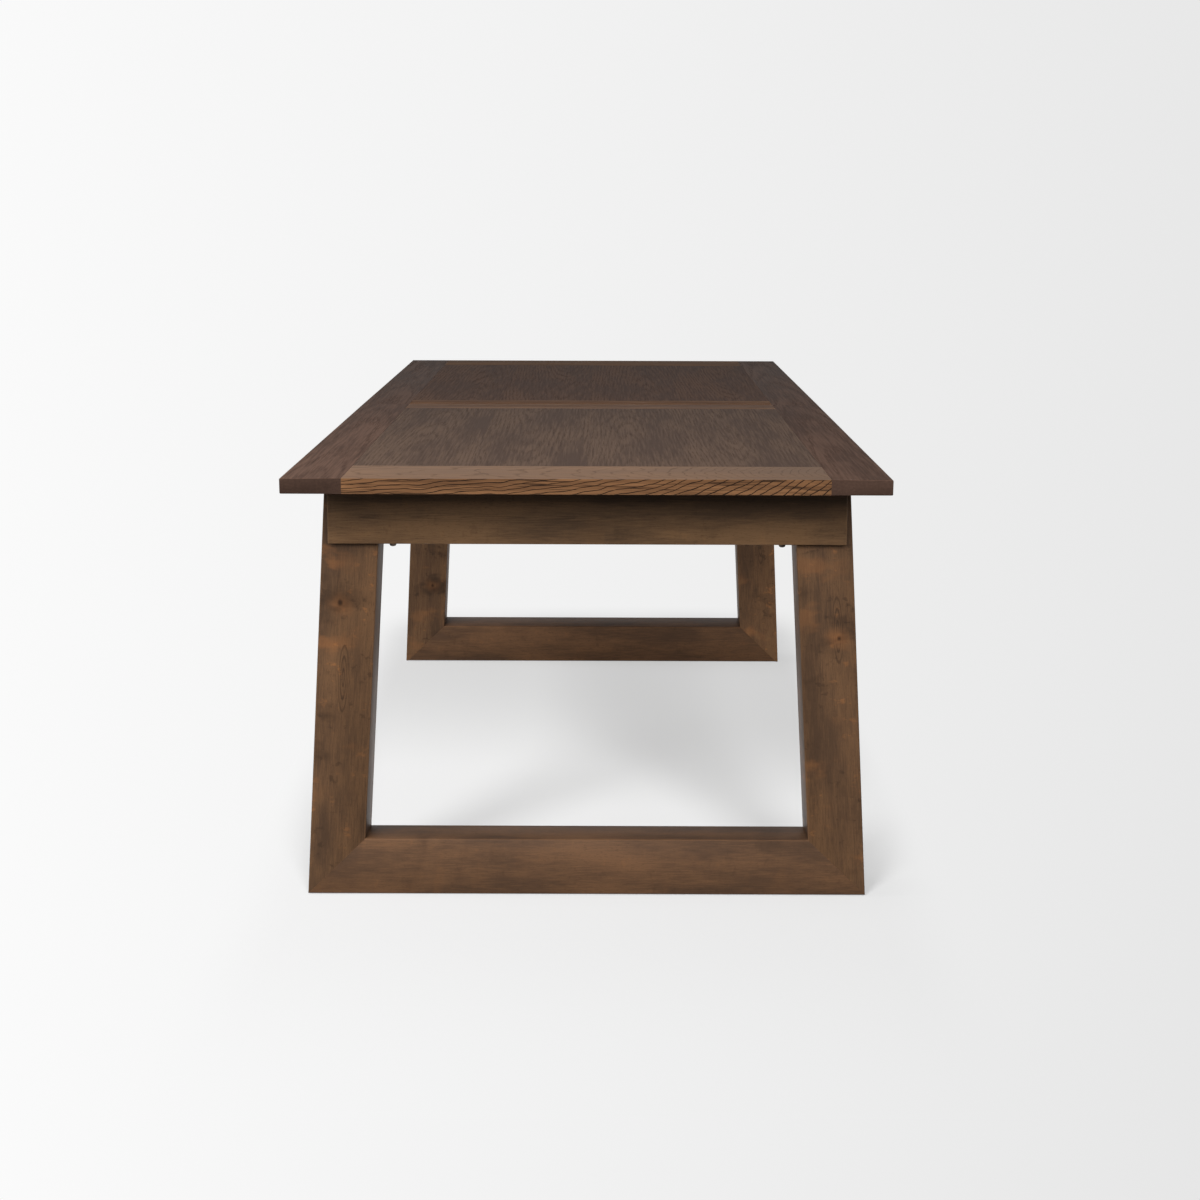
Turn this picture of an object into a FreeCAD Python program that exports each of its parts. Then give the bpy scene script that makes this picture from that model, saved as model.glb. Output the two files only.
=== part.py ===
import FreeCAD, Part
import math
import os
import re

import Sketcher
from FreeCAD import Placement, Rotation, Vector

# Extending dining table: a framed top in two halves on two leaning, splayed trestles.
# Millimetres, origin on the floor under the middle of the closed table.
# +X is the right of someone who stands at the near end, +Y runs to the far end, +Z is up.
# The near half stands still. The far half slides out along +Y and the carriage follows at half speed.

doc = FreeCAD.newDocument("ExtendingDiningTable")
sheet = doc.addObject("Spreadsheet::Sheet", "Sizes")

SIZES = [
    # Top
    ("TopWidth", 965, "top, side to side"),
    ("TopLength", 2134, "closed top, end to end"),
    ("TopThickness", 25, "top boards"),
    ("TableHeight", 762, "floor to the top's surface"),
    ("StileWidth", 97, "side boards of the top"),
    ("EndRailWidth", 142, "end boards of the top"),
    ("InnerRailWidth", 77, "boards each side of the seam"),
    ("TongueDepth", 8, "panel tongue, how far it stands out"),
    ("TongueThickness", 8, "panel tongue"),
    ("GrooveSlack", 1, "space past a tongue in its groove"),
    ("TopEdgeRadius", 2, "rounding of the top's outer edges"),
    # Trestles
    ("HeadInset", 38, "top's side edge to a leg's outer face under the top"),
    ("LegSplay", 42.5, "how much further out a leg stands at its foot"),
    ("FootSetback", 182, "top's end to the trestle's outer face at the foot"),
    ("LeanAngle", 3.43, "lengthwise lean of a trestle in degrees"),
    ("LegWidth", 96, "leg, side to side"),
    ("LegDepth", 90, "leg, front to back"),
    ("FootRailHeight", 99, "foot rail"),
    ("HeadRailHeight", 117, "head rail between the leg tops"),
    ("HeadRailDepth", 60, "head rail, front to back"),
    ("LegEdgeRadius", 2.5, "rounding of leg and foot rail edges"),
    ("TenonThickness", 12, "loose tenon"),
    ("MitreTenonLength", 60, "loose tenon across a mitre"),
    ("MitreTenonWidth", 40, "loose tenon across a mitre"),
    ("HeadTenonLength", 50, "loose tenon of the head rail"),
    ("HeadTenonWidth", 70, "loose tenon of the head rail"),
    ("HeadTenonOffset", 17, "head rail's middle to its loose tenons, towards the outer face"),
    ("GlideDiameter", 24, "glide under a foot rail"),
    ("GlideThickness", 2, "glide under a foot rail"),
    ("GlideInset", 40, "foot rail's end to the outer glide's centre"),
    ("GlideSpacing", 150, "trestle's middle to the inner glide's centre"),
    # Aprons
    ("EndApronHeight", 117.5, "end apron, along its lean"),
    ("EndApronThickness", 22, "end apron"),
    ("EndApronInset", 6.5, "leg's outer face to the end apron's end, under the top"),
    ("SideApronHeight", 100, "side apron"),
    ("SideApronThickness", 20, "side apron"),
    ("SideApronInset", 47.5, "top's side edge to the side apron's face"),
    ("SeamGap", 0.5, "seam plane to the end of a side apron"),
    ("ApronEdgeRadius", 1.5, "rounding of apron edges"),
    ("BlockSide", 30, "glue block"),
    ("BlockLength", 80, "glue block"),
    ("BlockSpacing", 160, "middle of the side apron to a glue block's centre"),
    # Bolts that hang the top on the head rail
    ("StudDiameter", 8, "threaded stud"),
    ("StudInset", 12.5, "leg's inner face to a stud, under the top"),
    ("StudEmbed", 14, "stud in the top"),
    ("StudTail", 6.5, "stud below its nut"),
    ("StudClearance", 1, "radial space round a stud in the head rail"),
    ("WasherDiameter", 20, "washer"),
    ("WasherThickness", 2, "washer"),
    ("NutWidth", 13, "nut across its flats"),
    ("NutHeight", 8, "locking nut"),
    # Slides
    ("LeafWidth", 457, "stored leaf, along the table"),
    ("LeafEntry", 13, "how much further the table opens than its leaf needs"),
    ("LeafSideRoom", 5.75, "folded leaf to the inner runner"),
    ("RunnerWidth", 29, "outer and inner runner"),
    ("MidRunnerWidth", 32, "middle runner"),
    ("RunnerHeight", 55, "outer and inner runner"),
    ("RunnerGap", 1, "side gap between runners"),
    ("RunnerRelief", 0.5, "runner below the half it only passes under"),
    ("RunnerEndGap", 30, "leg's back to the end of a runner, under the top"),
    ("RunnerSpare", 10, "runner past the seam beyond the full travel"),
    ("GearRebate", 14, "depth of the rebate for the gearing"),
    ("KeyHeight", 12, "key on the middle runner"),
    ("KeyDepth", 8, "key in its groove"),
    ("KeySlack", 0.3, "space round a key in its groove"),
    ("KeyRise", 14, "middle runner's bottom to its key"),
    # Gearing
    ("GearModule", 2, "tooth size"),
    ("PressureAngle", 20, "slant of the tooth flanks in degrees"),
    ("GearThickness", 10, "rack and pinion"),
    ("PinionTeeth", 20, "count"),
    ("Backlash", 0.3, "play between the teeth"),
    ("RackBacking", 6.5, "rack behind its tooth gaps"),
    ("RackSpare", 30, "rack past the pinion at each end of its travel"),
    ("AxleDiameter", 8, "pinion axle"),
    ("AxleEmbed", 25, "axle in the middle runner"),
    ("AxleTail", 2, "axle above the pinion"),
    ("RunningFit", 0.05, "radial space of a turning or sliding fit"),
    # Carriage and its leaf
    ("BearerHeight", 30, "cross bearer"),
    ("BearerWidth", 46, "cross bearer"),
    ("BearerDrop", 2, "runners' underside to the bearers"),
    ("LipWidth", 8.5, "lip that holds the leaf"),
    ("LipHeight", 12, "lip that holds the leaf"),
    ("LipInset", 7, "inner runner to the end of the lip"),
    ("LeafPlay", 1, "leaf to the lip"),
    ("HingeBarrel", 7, "leaf hinge barrel"),
    ("HingeLength", 60, "leaf hinge"),
    ("HingeNotchSlack", 1, "space round a hinge barrel"),
    ("HingeInset", 110, "leaf's middle to a hinge"),
    ("HingeLeafWidth", 22, "leaf hinge plate"),
    ("HingeLeafThickness", 2, "leaf hinge plate"),
    # Pins and latches at the seam
    ("PinDiameter", 9.5, "alignment pin"),
    ("PinReach", 12, "alignment pin past the seam"),
    ("PinEmbed", 18, "alignment pin in its rail"),
    ("PinInset", 85.5, "stile to the outer alignment pins"),
    ("PinTip", 2, "chamfer of an alignment pin"),
    ("LatchRadius", 28, "latch pivot to the keeper's stud"),
    ("LatchWidth", 16, "latch lever"),
    ("LatchTip", 8, "latch lever past the stud"),
    ("LatchThickness", 5, "latch lever"),
    ("LatchRoom", 14, "outer runner to the latch pivot"),
    ("PivotDiameter", 7, "latch pivot"),
    ("PivotHead", 12, "head of the latch pivot"),
    ("PivotHeadHeight", 2, "head of the latch pivot"),
    ("KeeperStud", 5, "keeper stud"),
    ("KeeperStudHeight", 7, "keeper stud"),
    ("LatchSlack", 0.5, "space round the stud in the latch"),
    ("PlateThickness", 3, "latch and keeper plates"),
    ("PlateWidth", 24, "latch and keeper plates"),
    ("PlateLength", 24, "latch and keeper plates"),
    # Making
    ("Overrun", 20, "how far a cut runs past what it cuts"),
]

for number, (alias, size, note) in enumerate(SIZES, start=1):
    sheet.set(f"A{number}", note)
    sheet.set(f"B{number}", str(size))
    sheet.setAlias(f"B{number}", alias)
doc.recompute()

ENDS = {"near": -1, "far": 1}
SIDES = {"left": -1, "right": 1}
FULL_TURN = 360

# An edge counts as running along an axis when it leans less than 30 degrees from it
ALONG_SHARE = math.cos(math.radians(30))


def bound(text):
    """The same expression with every size read from the sheet."""
    return re.sub(r"[A-Z]\w+", lambda word: "Sizes." + word.group(), text)


def value(text):
    """What an expression comes to now."""
    return float(sheet.evalExpression(bound(text)))


# Places that several pieces share, as expressions on the sheet
UNDERSIDE = "(TableHeight - TopThickness)"
HALF_TOP = "(TopWidth / 2)"
HALF_LENGTH = "(TopLength / 2)"
RAIL_LENGTH = "(TopWidth - 2 * StileWidth)"
PANEL_LENGTH = "(TopLength / 2 - EndRailWidth - InnerRailWidth)"
TONGUE_BOTTOM = "((TopThickness - TongueThickness) / 2)"

LEAN = "(LeanAngle * 1 deg)"
FRAME_RISE = "(TableHeight - TopThickness - GlideThickness)"
FRAME_LENGTH = f"({FRAME_RISE} / cos({LEAN}))"
FOOT_HALF = "(TopWidth / 2 - HeadInset + LegSplay)"
FOOT_FACE = "(TopLength / 2 - FootSetback)"
LEG_BACK = f"({FOOT_FACE} - {FRAME_RISE} * tan({LEAN}) - LegDepth / cos({LEAN}))"
LEG_MIDDLE = f"({LEG_BACK} + LegDepth / 2 / cos({LEAN}))"
STUD_X = "(TopWidth / 2 - HeadInset - LegWidth - StudInset)"
PIN_SPACING = f"({RAIL_LENGTH} / 2 - PinInset)"

TRAVEL = "(LeafWidth + LeafEntry)"
INNER_FACE = "(TopWidth / 4 + LeafSideRoom)"
SLIDE_MIDDLE = f"({INNER_FACE} + RunnerWidth + RunnerGap + MidRunnerWidth / 2)"
RUNNER_OFFSET = "(MidRunnerWidth / 2 + RunnerGap)"
RUNNER_OUTER = f"({LEG_BACK} - RunnerEndGap)"
RUNNER_INNER = f"({TRAVEL} + RunnerSpare)"
RUNNER_LENGTH = f"({RUNNER_OUTER} + {RUNNER_INNER})"
RUNNER_BOTTOM = f"({UNDERSIDE} - RunnerHeight)"
MID_BOTTOM = f"({RUNNER_BOTTOM} - BearerDrop)"
GEAR_LEVEL = f"({UNDERSIDE} - GearRebate)"
KEY_BOTTOM = f"({MID_BOTTOM} + KeyRise)"
PITCH_RADIUS = "(GearModule * PinionTeeth / 2)"
RACK_TIP = f"({PITCH_RADIUS} - GearModule)"
ROOT_SHARE = 1.25
RACK_BACK = f"({PITCH_RADIUS} + {ROOT_SHARE} * GearModule + RackBacking)"

LATCH_X = f"({SLIDE_MIDDLE} + {RUNNER_OFFSET} + RunnerWidth + LatchRoom)"
LATCH_Y = "(LatchRadius / 2)"
LATCH_TOP = f"({UNDERSIDE} - PlateThickness)"


# Helpers for sketches and features
def new_body(name):
    body = doc.addObject("PartDesign::Body", name)
    body.Label = name
    return body


def origin_plane(body, role):
    return [item for item in body.Origin.OriginFeatures if item.Role == role][0]


def new_sketch(body, plane, height=None):
    sketch = body.newObject("Sketcher::SketchObject", body.Name + "_sketch")
    sketch.AttachmentSupport = [(origin_plane(body, plane), "")]
    sketch.MapMode = "FlatFace"
    if height:
        sketch.setExpression("AttachmentOffset.Base.z", bound(height))
    return sketch


def hold(sketch, kind, items, name, text):
    """One dimension of a sketch, tied to the sheet."""
    index = sketch.addConstraint(Sketcher.Constraint(kind, *items, value(text)))
    sketch.renameConstraint(index, name)
    sketch.setExpression("Constraints." + name, bound(text))


def draw_outline(sketch, points):
    """A closed outline of straight lines, each corner held by two dimensions."""
    first = sketch.GeometryCount
    count = len(points)
    places = [Vector(value(across), value(up), 0) for across, up in points]
    for number in range(count):
        sketch.addGeometry(Part.LineSegment(places[number], places[(number + 1) % count]))
    for number in range(count):
        follower = first + (number + 1) % count
        sketch.addConstraint(Sketcher.Constraint("Coincident", first + number, 2, follower, 1))
    for number, (across, up) in enumerate(points):
        line = first + number
        hold(sketch, "DistanceX", (-1, 1, line, 1), f"across{line}", across)
        hold(sketch, "DistanceY", (-1, 1, line, 1), f"up{line}", up)


def rectangle(width, depth):
    """Corners of a rectangle about the origin."""
    right, back = f"({width}) / 2", f"({depth}) / 2"
    return [(f"-{right}", f"-{back}"), (right, f"-{back}"), (right, back), (f"-{right}", back)]


def add_pad(body, sketch, length, reverse=False, both_ways=False):
    pad = body.newObject("PartDesign::Pad", body.Name + "_pad")
    pad.Profile = sketch
    pad.setExpression("Length", bound(length))
    pad.Reversed = reverse
    pad.Midplane = both_ways
    body.Tip = pad
    return pad


def place(item, across="0", along="0", up="0"):
    """A place in the table's frame, tied to the sheet."""
    for axis, text in zip("xyz", (across, along, up)):
        item.setExpression(f"Placement.Base.{axis}", bound(text))
    return item


def turn(item, axis, text):
    """A turn about an axis, tied to the sheet."""
    item.Placement = Placement(Vector(), Rotation(axis, 1))
    item.setExpression("Placement.Rotation.Angle", bound(text))
    return item


def board(name, size, base):
    """A straight board: its size, and the middle of its underside."""
    body = new_body(name)
    sketch = new_sketch(body, "XY_Plane")
    draw_outline(sketch, rectangle(size[0], size[1]))
    add_pad(body, sketch, size[2])
    return place(body, *base)


def ease_edges(body, radius, wanted):
    """Round the edges of the newest feature whose middle and direction pass a test."""
    doc.recompute()
    feature = body.Tip
    names = []
    for number, edge in enumerate(feature.Shape.Edges, start=1):
        start, end = edge.Vertexes[0].Point, edge.Vertexes[-1].Point
        if wanted((start + end) / 2, (end - start).normalize()):
            names.append(f"Edge{number}")
    fillet = body.newObject("PartDesign::Fillet", body.Name + "_fillet")
    fillet.Base = (feature, names)
    fillet.setExpression("Radius", bound(radius))
    body.Tip = fillet


def near_to(number, target):
    """True where a coordinate lies at a size, either side of zero."""
    return abs(abs(number) - target) < value("RunningFit")


def block(name, size, base):
    """A plain block used as a cutter or a small piece: its size, and the middle of its underside."""
    box = doc.addObject("Part::Box", name)
    for side, text in zip(("Length", "Width", "Height"), size):
        box.setExpression(side, bound(text))
    across, along, up = base
    return place(box, f"{across} - ({size[0]}) / 2", f"{along} - ({size[1]}) / 2", up)


def rod(name, diameter, length, base):
    """An upright cylinder: its size, and the middle of its lower end."""
    cylinder = doc.addObject("Part::Cylinder", name)
    cylinder.setExpression("Radius", bound(f"({diameter}) / 2"))
    cylinder.setExpression("Height", bound(length))
    return place(cylinder, *base)


def join(name, kind, items):
    """Several objects as one: Compound keeps them separate, MultiFuse makes one solid."""
    group = doc.addObject("Part::" + kind, name)
    if kind == "Compound":
        group.Links = items
    else:
        group.Shapes = items
    return group


def cut(name, base, tool):
    result = doc.addObject("Part::Cut", name)
    result.Base = base
    result.Tool = tool
    return result


subparts = []


def keep(item, name):
    """Name a finished sub-part."""
    item.Label = name
    subparts.append(item)
    return item


# Top: two side stiles, an end rail, a rail at the seam and a panel in each half
def make_stile(end, side):
    end_sign, side_sign = ENDS[end], SIDES[side]
    name = f"{end}_stile_{side}"
    body = new_body(name + "_body")
    sketch = new_sketch(body, "XY_Plane")
    draw_outline(sketch, rectangle("StileWidth", HALF_LENGTH))
    add_pad(body, sketch, "TopThickness")
    outer_x = side_sign * value("StileWidth") / 2
    outer_y = end_sign * value(HALF_LENGTH) / 2
    fit = value("RunningFit")
    ease_edges(body, "TopEdgeRadius", lambda place_at, way: abs(way.z) < fit and (
        abs(place_at.x - outer_x) < fit or abs(place_at.y - outer_y) < fit))
    place(body, f"{side_sign} * ({HALF_TOP} - StileWidth / 2)", f"{end_sign} * {HALF_LENGTH} / 2", UNDERSIDE)
    groove_length = f"{PANEL_LENGTH} + 2 * (TongueDepth + GrooveSlack)"
    groove = block(name + "_groove", ("2 * (TongueDepth + GrooveSlack)", groove_length, "TongueThickness"),
                   (f"{side_sign} * ({HALF_TOP} - StileWidth)",
                    f"{end_sign} * (InnerRailWidth + {PANEL_LENGTH} / 2)",
                    f"{UNDERSIDE} + {TONGUE_BOTTOM}"))
    keep(cut(name, body, groove), name)


def make_rail(name, width, middle, outer_sign, groove_sign, eased):
    """A rail across the top, grooved along the edge that holds the panel."""
    edge, back = f"{groove_sign} * ({width}) / 2", f"{-groove_sign} * ({width}) / 2"
    floor = f"{groove_sign} * (({width}) / 2 - TongueDepth - GrooveSlack)"
    lower, upper = TONGUE_BOTTOM, f"({TONGUE_BOTTOM} + TongueThickness)"
    body = new_body(name)
    sketch = new_sketch(body, "YZ_Plane")
    draw_outline(sketch, [(back, "0"), (edge, "0"), (edge, lower), (floor, lower), (floor, upper),
                          (edge, upper), (edge, "TopThickness"), (back, "TopThickness")])
    add_pad(body, sketch, RAIL_LENGTH, both_ways=True)
    if eased:
        fit = value("RunningFit")
        outer_y = outer_sign * value(width) / 2
        ease_edges(body, "TopEdgeRadius", lambda place_at, way: abs(way.x) > 1 - fit
                   and abs(place_at.y - outer_y) < fit)
    return place(body, "0", middle, UNDERSIDE)


def make_panel(end):
    end_sign = ENDS[end]
    body = new_body(f"{end}_panel_body")
    face = new_sketch(body, "XY_Plane")
    draw_outline(face, rectangle(RAIL_LENGTH, PANEL_LENGTH))
    add_pad(body, face, "TopThickness")
    tongue = new_sketch(body, "XY_Plane", TONGUE_BOTTOM)
    draw_outline(tongue, rectangle(f"{RAIL_LENGTH} + 2 * TongueDepth", f"{PANEL_LENGTH} + 2 * TongueDepth"))
    add_pad(body, tongue, "TongueThickness")
    place(body, "0", f"{end_sign} * (InnerRailWidth + {PANEL_LENGTH} / 2)", UNDERSIDE)
    sockets = [rod(f"{end}_panel_socket_{side}", "StudDiameter", "StudEmbed",
                   (f"{sign} * {STUD_X}", f"{end_sign} * {LEG_MIDDLE}", UNDERSIDE))
               for side, sign in SIDES.items()]
    keep(cut(f"{end}_panel", body, join(f"{end}_panel_sockets", "Compound", sockets)), f"{end}_panel")


def lying_rod(name, diameter, length, across, start, up, toward):
    """A cylinder along the table, from a start in the direction of a sign."""
    cylinder = doc.addObject("Part::Cylinder", name)
    cylinder.setExpression("Radius", bound(f"({diameter}) / 2"))
    cylinder.setExpression("Height", bound(length))
    cylinder.Placement = Placement(Vector(), Rotation(Vector(1, 0, 0), -90 * toward))
    return place(cylinder, across, start, up)


def make_top():
    for end, end_sign in ENDS.items():
        for side in SIDES:
            make_stile(end, side)
        middle = f"{end_sign} * ({HALF_LENGTH} - EndRailWidth / 2)"
        name = f"{end}_end_rail"
        keep(make_rail(name, "EndRailWidth", middle, end_sign, -end_sign, True), name)
        make_panel(end)
        name = f"{end}_inner_rail"
        rail = make_rail(name + "_body", "InnerRailWidth", f"{end_sign} * InnerRailWidth / 2",
                         end_sign, end_sign, False)
        diameter, depth = {
            "near": ("PinDiameter + 2 * RunningFit", "PinReach + GrooveSlack"),
            "far": ("PinDiameter", "PinEmbed"),
        }[end]
        bores = [lying_rod(f"{name}_bore_{number + 2}", diameter, depth, f"{number} * {PIN_SPACING}", "0",
                           f"{UNDERSIDE} + TopThickness / 2", end_sign)
                 for number in (-1, 0, 1)]
        keep(cut(name, rail, join(name + "_bores", "Compound", bores)), name)


make_top()


# Trestles: two legs, a mitred foot rail and a head rail, built square to their own leaning plane
level_space = block("level_space", ("2 * TopWidth", "2 * TopLength", FRAME_RISE),
                    ("0", "0", "GlideThickness"))


def leg_outer(up):
    return f"({FOOT_HALF} - LegSplay / {FRAME_LENGTH} * ({up}))"


def leg_inner(up):
    return f"({leg_outer(up)} - LegWidth)"


def frame_prism(name, end, points, front, depth):
    """A prism in a trestle's plane, from a depth behind its outer face, at the trestle's lean."""
    end_sign = ENDS[end]
    body = new_body(name)
    sketch = new_sketch(body, "XZ_Plane", f"{end_sign} * ({front})")
    draw_outline(sketch, points)
    add_pad(body, sketch, depth, reverse=end == "near")
    turn(body, Vector(1, 0, 0), f"{end_sign} * LeanAngle")
    return place(body, "0", f"{end_sign} * {FOOT_FACE}", "GlideThickness")


def trim_level(name, body):
    """Cut a leaning piece level at the glides and under the top."""
    common = doc.addObject("Part::Common", name)
    common.Base = body
    common.Tool = level_space
    return common


def frame_box(name, end, size, middle):
    """A box in a trestle's plane: its size, and its middle across, up and behind the outer face."""
    width, height, thickness = size
    across, up, behind = middle
    left, right = f"{across} - ({width}) / 2", f"{across} + ({width}) / 2"
    bottom, top = f"{up} - ({height}) / 2", f"{up} + ({height}) / 2"
    return frame_prism(name, end, [(left, bottom), (right, bottom), (right, top), (left, top)],
                       f"{behind} - ({thickness}) / 2", thickness)


def make_trestle(end):
    end_sign = ENDS[end]
    above = f"({FRAME_LENGTH} + LegDepth * tan({LEAN}) + Overrun)"
    head_bottom = f"({FRAME_LENGTH} - HeadRailHeight / cos({LEAN}))"
    corner = (leg_inner("FootRailHeight"), "FootRailHeight")
    mitre_middle = (f"({FOOT_HALF} + {corner[0]}) / 2", "FootRailHeight / 2", "LegDepth / 2")
    mitre_tenons = []
    head_tenons = []
    for side, sign in SIDES.items():
        mitre_tenons.append(frame_box(f"{end}_mitre_tenon_{side}", end,
                                      ("MitreTenonLength", "MitreTenonWidth", "TenonThickness"),
                                      (f"{sign} * {mitre_middle[0]}",) + mitre_middle[1:]))
        tenon_up = f"({head_bottom} + HeadRailHeight / 2)"
        head_tenons.append(frame_box(f"{end}_head_tenon_{side}", end,
                                     ("HeadTenonLength", "HeadTenonWidth", "TenonThickness"),
                                     (f"{sign} * {leg_inner(tenon_up)}", tenon_up,
                                      "(LegDepth / 2 - HeadTenonOffset)")))
    all_mitre = keep(join(f"{end}_mitre_tenons", "Compound", mitre_tenons), f"{end}_mitre_tenons")
    all_head = keep(join(f"{end}_head_tenons", "Compound", head_tenons), f"{end}_head_tenons")
    all_tenons = join(f"{end}_all_tenons", "Compound", [all_mitre, all_head])

    for side, sign in SIDES.items():
        name = f"{end}_leg_{side}"
        outline = [(f"{sign} * {FOOT_HALF}", "0"), (f"{sign} * {corner[0]}", corner[1]),
                   (f"{sign} * {leg_inner(above)}", above), (f"{sign} * {leg_outer(above)}", above)]
        leg = frame_prism(name + "_body", end, outline, "0", "LegDepth")
        ease_edges(leg, "LegEdgeRadius", lambda place_at, way: abs(way.z) > ALONG_SHARE)
        keep(cut(name, trim_level(name + "_level", leg), all_tenons), name)

    name = f"{end}_foot_rail"
    outline = [(f"-{FOOT_HALF}", "0"), (FOOT_HALF, "0"), corner, (f"-{corner[0]}", corner[1])]
    rail = frame_prism(name + "_body", end, outline, "0", "LegDepth")
    top_edge = value("FootRailHeight")
    ease_edges(rail, "LegEdgeRadius", lambda place_at, way: abs(way.x) > ALONG_SHARE
               and abs(place_at.z - top_edge) < value("RunningFit"))
    keep(cut(name, trim_level(name + "_level", rail), all_mitre), name)

    name = f"{end}_head_rail"
    start = "(LegDepth - HeadRailDepth) / 2"
    outline = [(f"-{leg_inner('0')}", "0"), (leg_inner("0"), "0"),
               (leg_inner(above), above), (f"-{leg_inner(above)}", above)]
    rail = trim_level(name + "_level", frame_prism(name + "_body", end, outline, start, "HeadRailDepth"))
    waste = block(name + "_waste", ("2 * TopWidth", "TopLength", f"{UNDERSIDE} - HeadRailHeight"),
                  ("0", f"{end_sign} * TopLength / 2", "0"))
    bores = [rod(f"{end}_stud_bore_{side}", "StudDiameter + 2 * StudClearance", UNDERSIDE,
                 (f"{sign} * {STUD_X}", f"{end_sign} * {LEG_MIDDLE}", "Overrun"))
             for side, sign in SIDES.items()]
    keep(cut(name, rail, join(name + "_cuts", "Compound", [waste, all_head] + bores)), name)


def make_end_apron(end):
    name = f"{end}_end_apron"
    above = f"({FRAME_LENGTH} + Overrun)"
    bottom = f"({FRAME_LENGTH} - EndApronHeight)"
    half = f"({HALF_TOP} - HeadInset - EndApronInset)"
    outline = [(f"-{half}", bottom), (half, bottom), (half, above), (f"-{half}", above)]
    body = frame_prism(name + "_body", end, outline, "-EndApronThickness", "EndApronThickness")
    front = value("EndApronThickness")
    half_now = value(half)
    bottom_now = value(bottom)
    fit = value("RunningFit")
    ease_edges(body, "ApronEdgeRadius", lambda place_at, way: abs(way.y) < fit
               and near_to(place_at.y, front)
               and (near_to(place_at.x, half_now) or abs(place_at.z - bottom_now) < fit))
    keep(trim_level(name, body), name)


def make_glides(end):
    across = [f"{sign} * {place_at}" for sign in (-1, 1)
              for place_at in (f"({FOOT_HALF} - GlideInset)", "GlideSpacing")]
    middle = f"{ENDS[end]} * ({FOOT_FACE} - LegDepth / 2)"
    discs = [rod(f"{end}_glide_{number}", "GlideDiameter", "GlideThickness", (text, middle, "0"))
             for number, text in enumerate(across, start=1)]
    keep(join(f"{end}_glides", "Compound", discs), f"{end}_glides")


def nut(name, base):
    """A hexagon nut round a stud."""
    prism = doc.addObject("Part::Prism", name)
    prism.Polygon = 6
    prism.setExpression("Circumradius", bound("NutWidth / 2 / cos(180 deg / 6)"))
    prism.setExpression("Height", bound("NutHeight"))
    return place(prism, *base)


def make_trestle_bolts(end):
    """Two studs that hang down from the top through the head rail, each with a washer and a nut."""
    pieces = []
    for side, sign in SIDES.items():
        middle = (f"{sign} * {STUD_X}", f"{ENDS[end]} * {LEG_MIDDLE}")
        seat = f"({UNDERSIDE} - HeadRailHeight)"
        label = f"{end}_{side}"
        bottom = f"({seat} - WasherThickness - NutHeight - StudTail)"
        pieces.append(rod(f"stud_{label}", "StudDiameter", f"{UNDERSIDE} + StudEmbed - {bottom}",
                          middle + (bottom,)))
        washer = rod(f"washer_disc_{label}", "WasherDiameter", "WasherThickness",
                     middle + (f"{seat} - WasherThickness",))
        hexagon = nut(f"nut_blank_{label}", middle + (f"{seat} - WasherThickness - NutHeight",))
        for blank, piece in ((washer, "washer"), (hexagon, "nut")):
            bore = rod(f"{piece}_bore_{label}", "StudDiameter + 2 * RunningFit", UNDERSIDE, middle + ("0",))
            pieces.append(cut(f"{piece}_{label}", blank, bore))
    keep(join(f"{end}_trestle_bolts", "Compound", pieces), f"{end}_trestle_bolts")


for end in ENDS:
    make_trestle(end)
    make_end_apron(end)
    make_glides(end)
    make_trestle_bolts(end)


# Side aprons, cut to the lean of the legs that they meet, and the glue blocks behind them
def make_side_apron(end, side):
    end_sign, sign = ENDS[end], SIDES[side]
    name = f"{end}_side_apron_{side}"
    lean_out = f"SideApronHeight * tan({LEAN})"
    seam = f"{end_sign} * SeamGap"
    body = new_body(name)
    sketch = new_sketch(body, "YZ_Plane")
    draw_outline(sketch, [(seam, "0"), (seam, "SideApronHeight"),
                          (f"{end_sign} * {LEG_BACK}", "SideApronHeight"),
                          (f"{end_sign} * ({LEG_BACK} + {lean_out})", "0")])
    add_pad(body, sketch, "SideApronThickness", both_ways=True)
    outer_x = sign * value("SideApronThickness") / 2
    fit = value("RunningFit")
    ease_edges(body, "ApronEdgeRadius", lambda place_at, way: abs(way.y) > 1 - fit
               and abs(place_at.x - outer_x) < fit and abs(place_at.z) < fit)
    place(body, f"{sign} * ({HALF_TOP} - SideApronInset - SideApronThickness / 2)", "0",
          f"{UNDERSIDE} - SideApronHeight")
    keep(body, name)


def make_glue_blocks(end):
    blocks = []
    for side, sign in SIDES.items():
        for number in (-1, 1):
            body = new_body(f"{end}_glue_block_{side}_{number + 2}")
            sketch = new_sketch(body, "XZ_Plane")
            draw_outline(sketch, [("0", "0"), (f"{-sign} * BlockSide", "0"), ("0", "-BlockSide")])
            add_pad(body, sketch, "BlockLength", both_ways=True)
            middle = f"{ENDS[end]} * ({LEG_BACK} / 2 + {number} * BlockSpacing)"
            place(body, f"{sign} * ({HALF_TOP} - SideApronInset - SideApronThickness)", middle, UNDERSIDE)
            blocks.append(body)
    keep(join(f"{end}_glue_blocks", "Compound", blocks), f"{end}_glue_blocks")


for end in ENDS:
    for side in SIDES:
        make_side_apron(end, side)
    make_glue_blocks(end)


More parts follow.
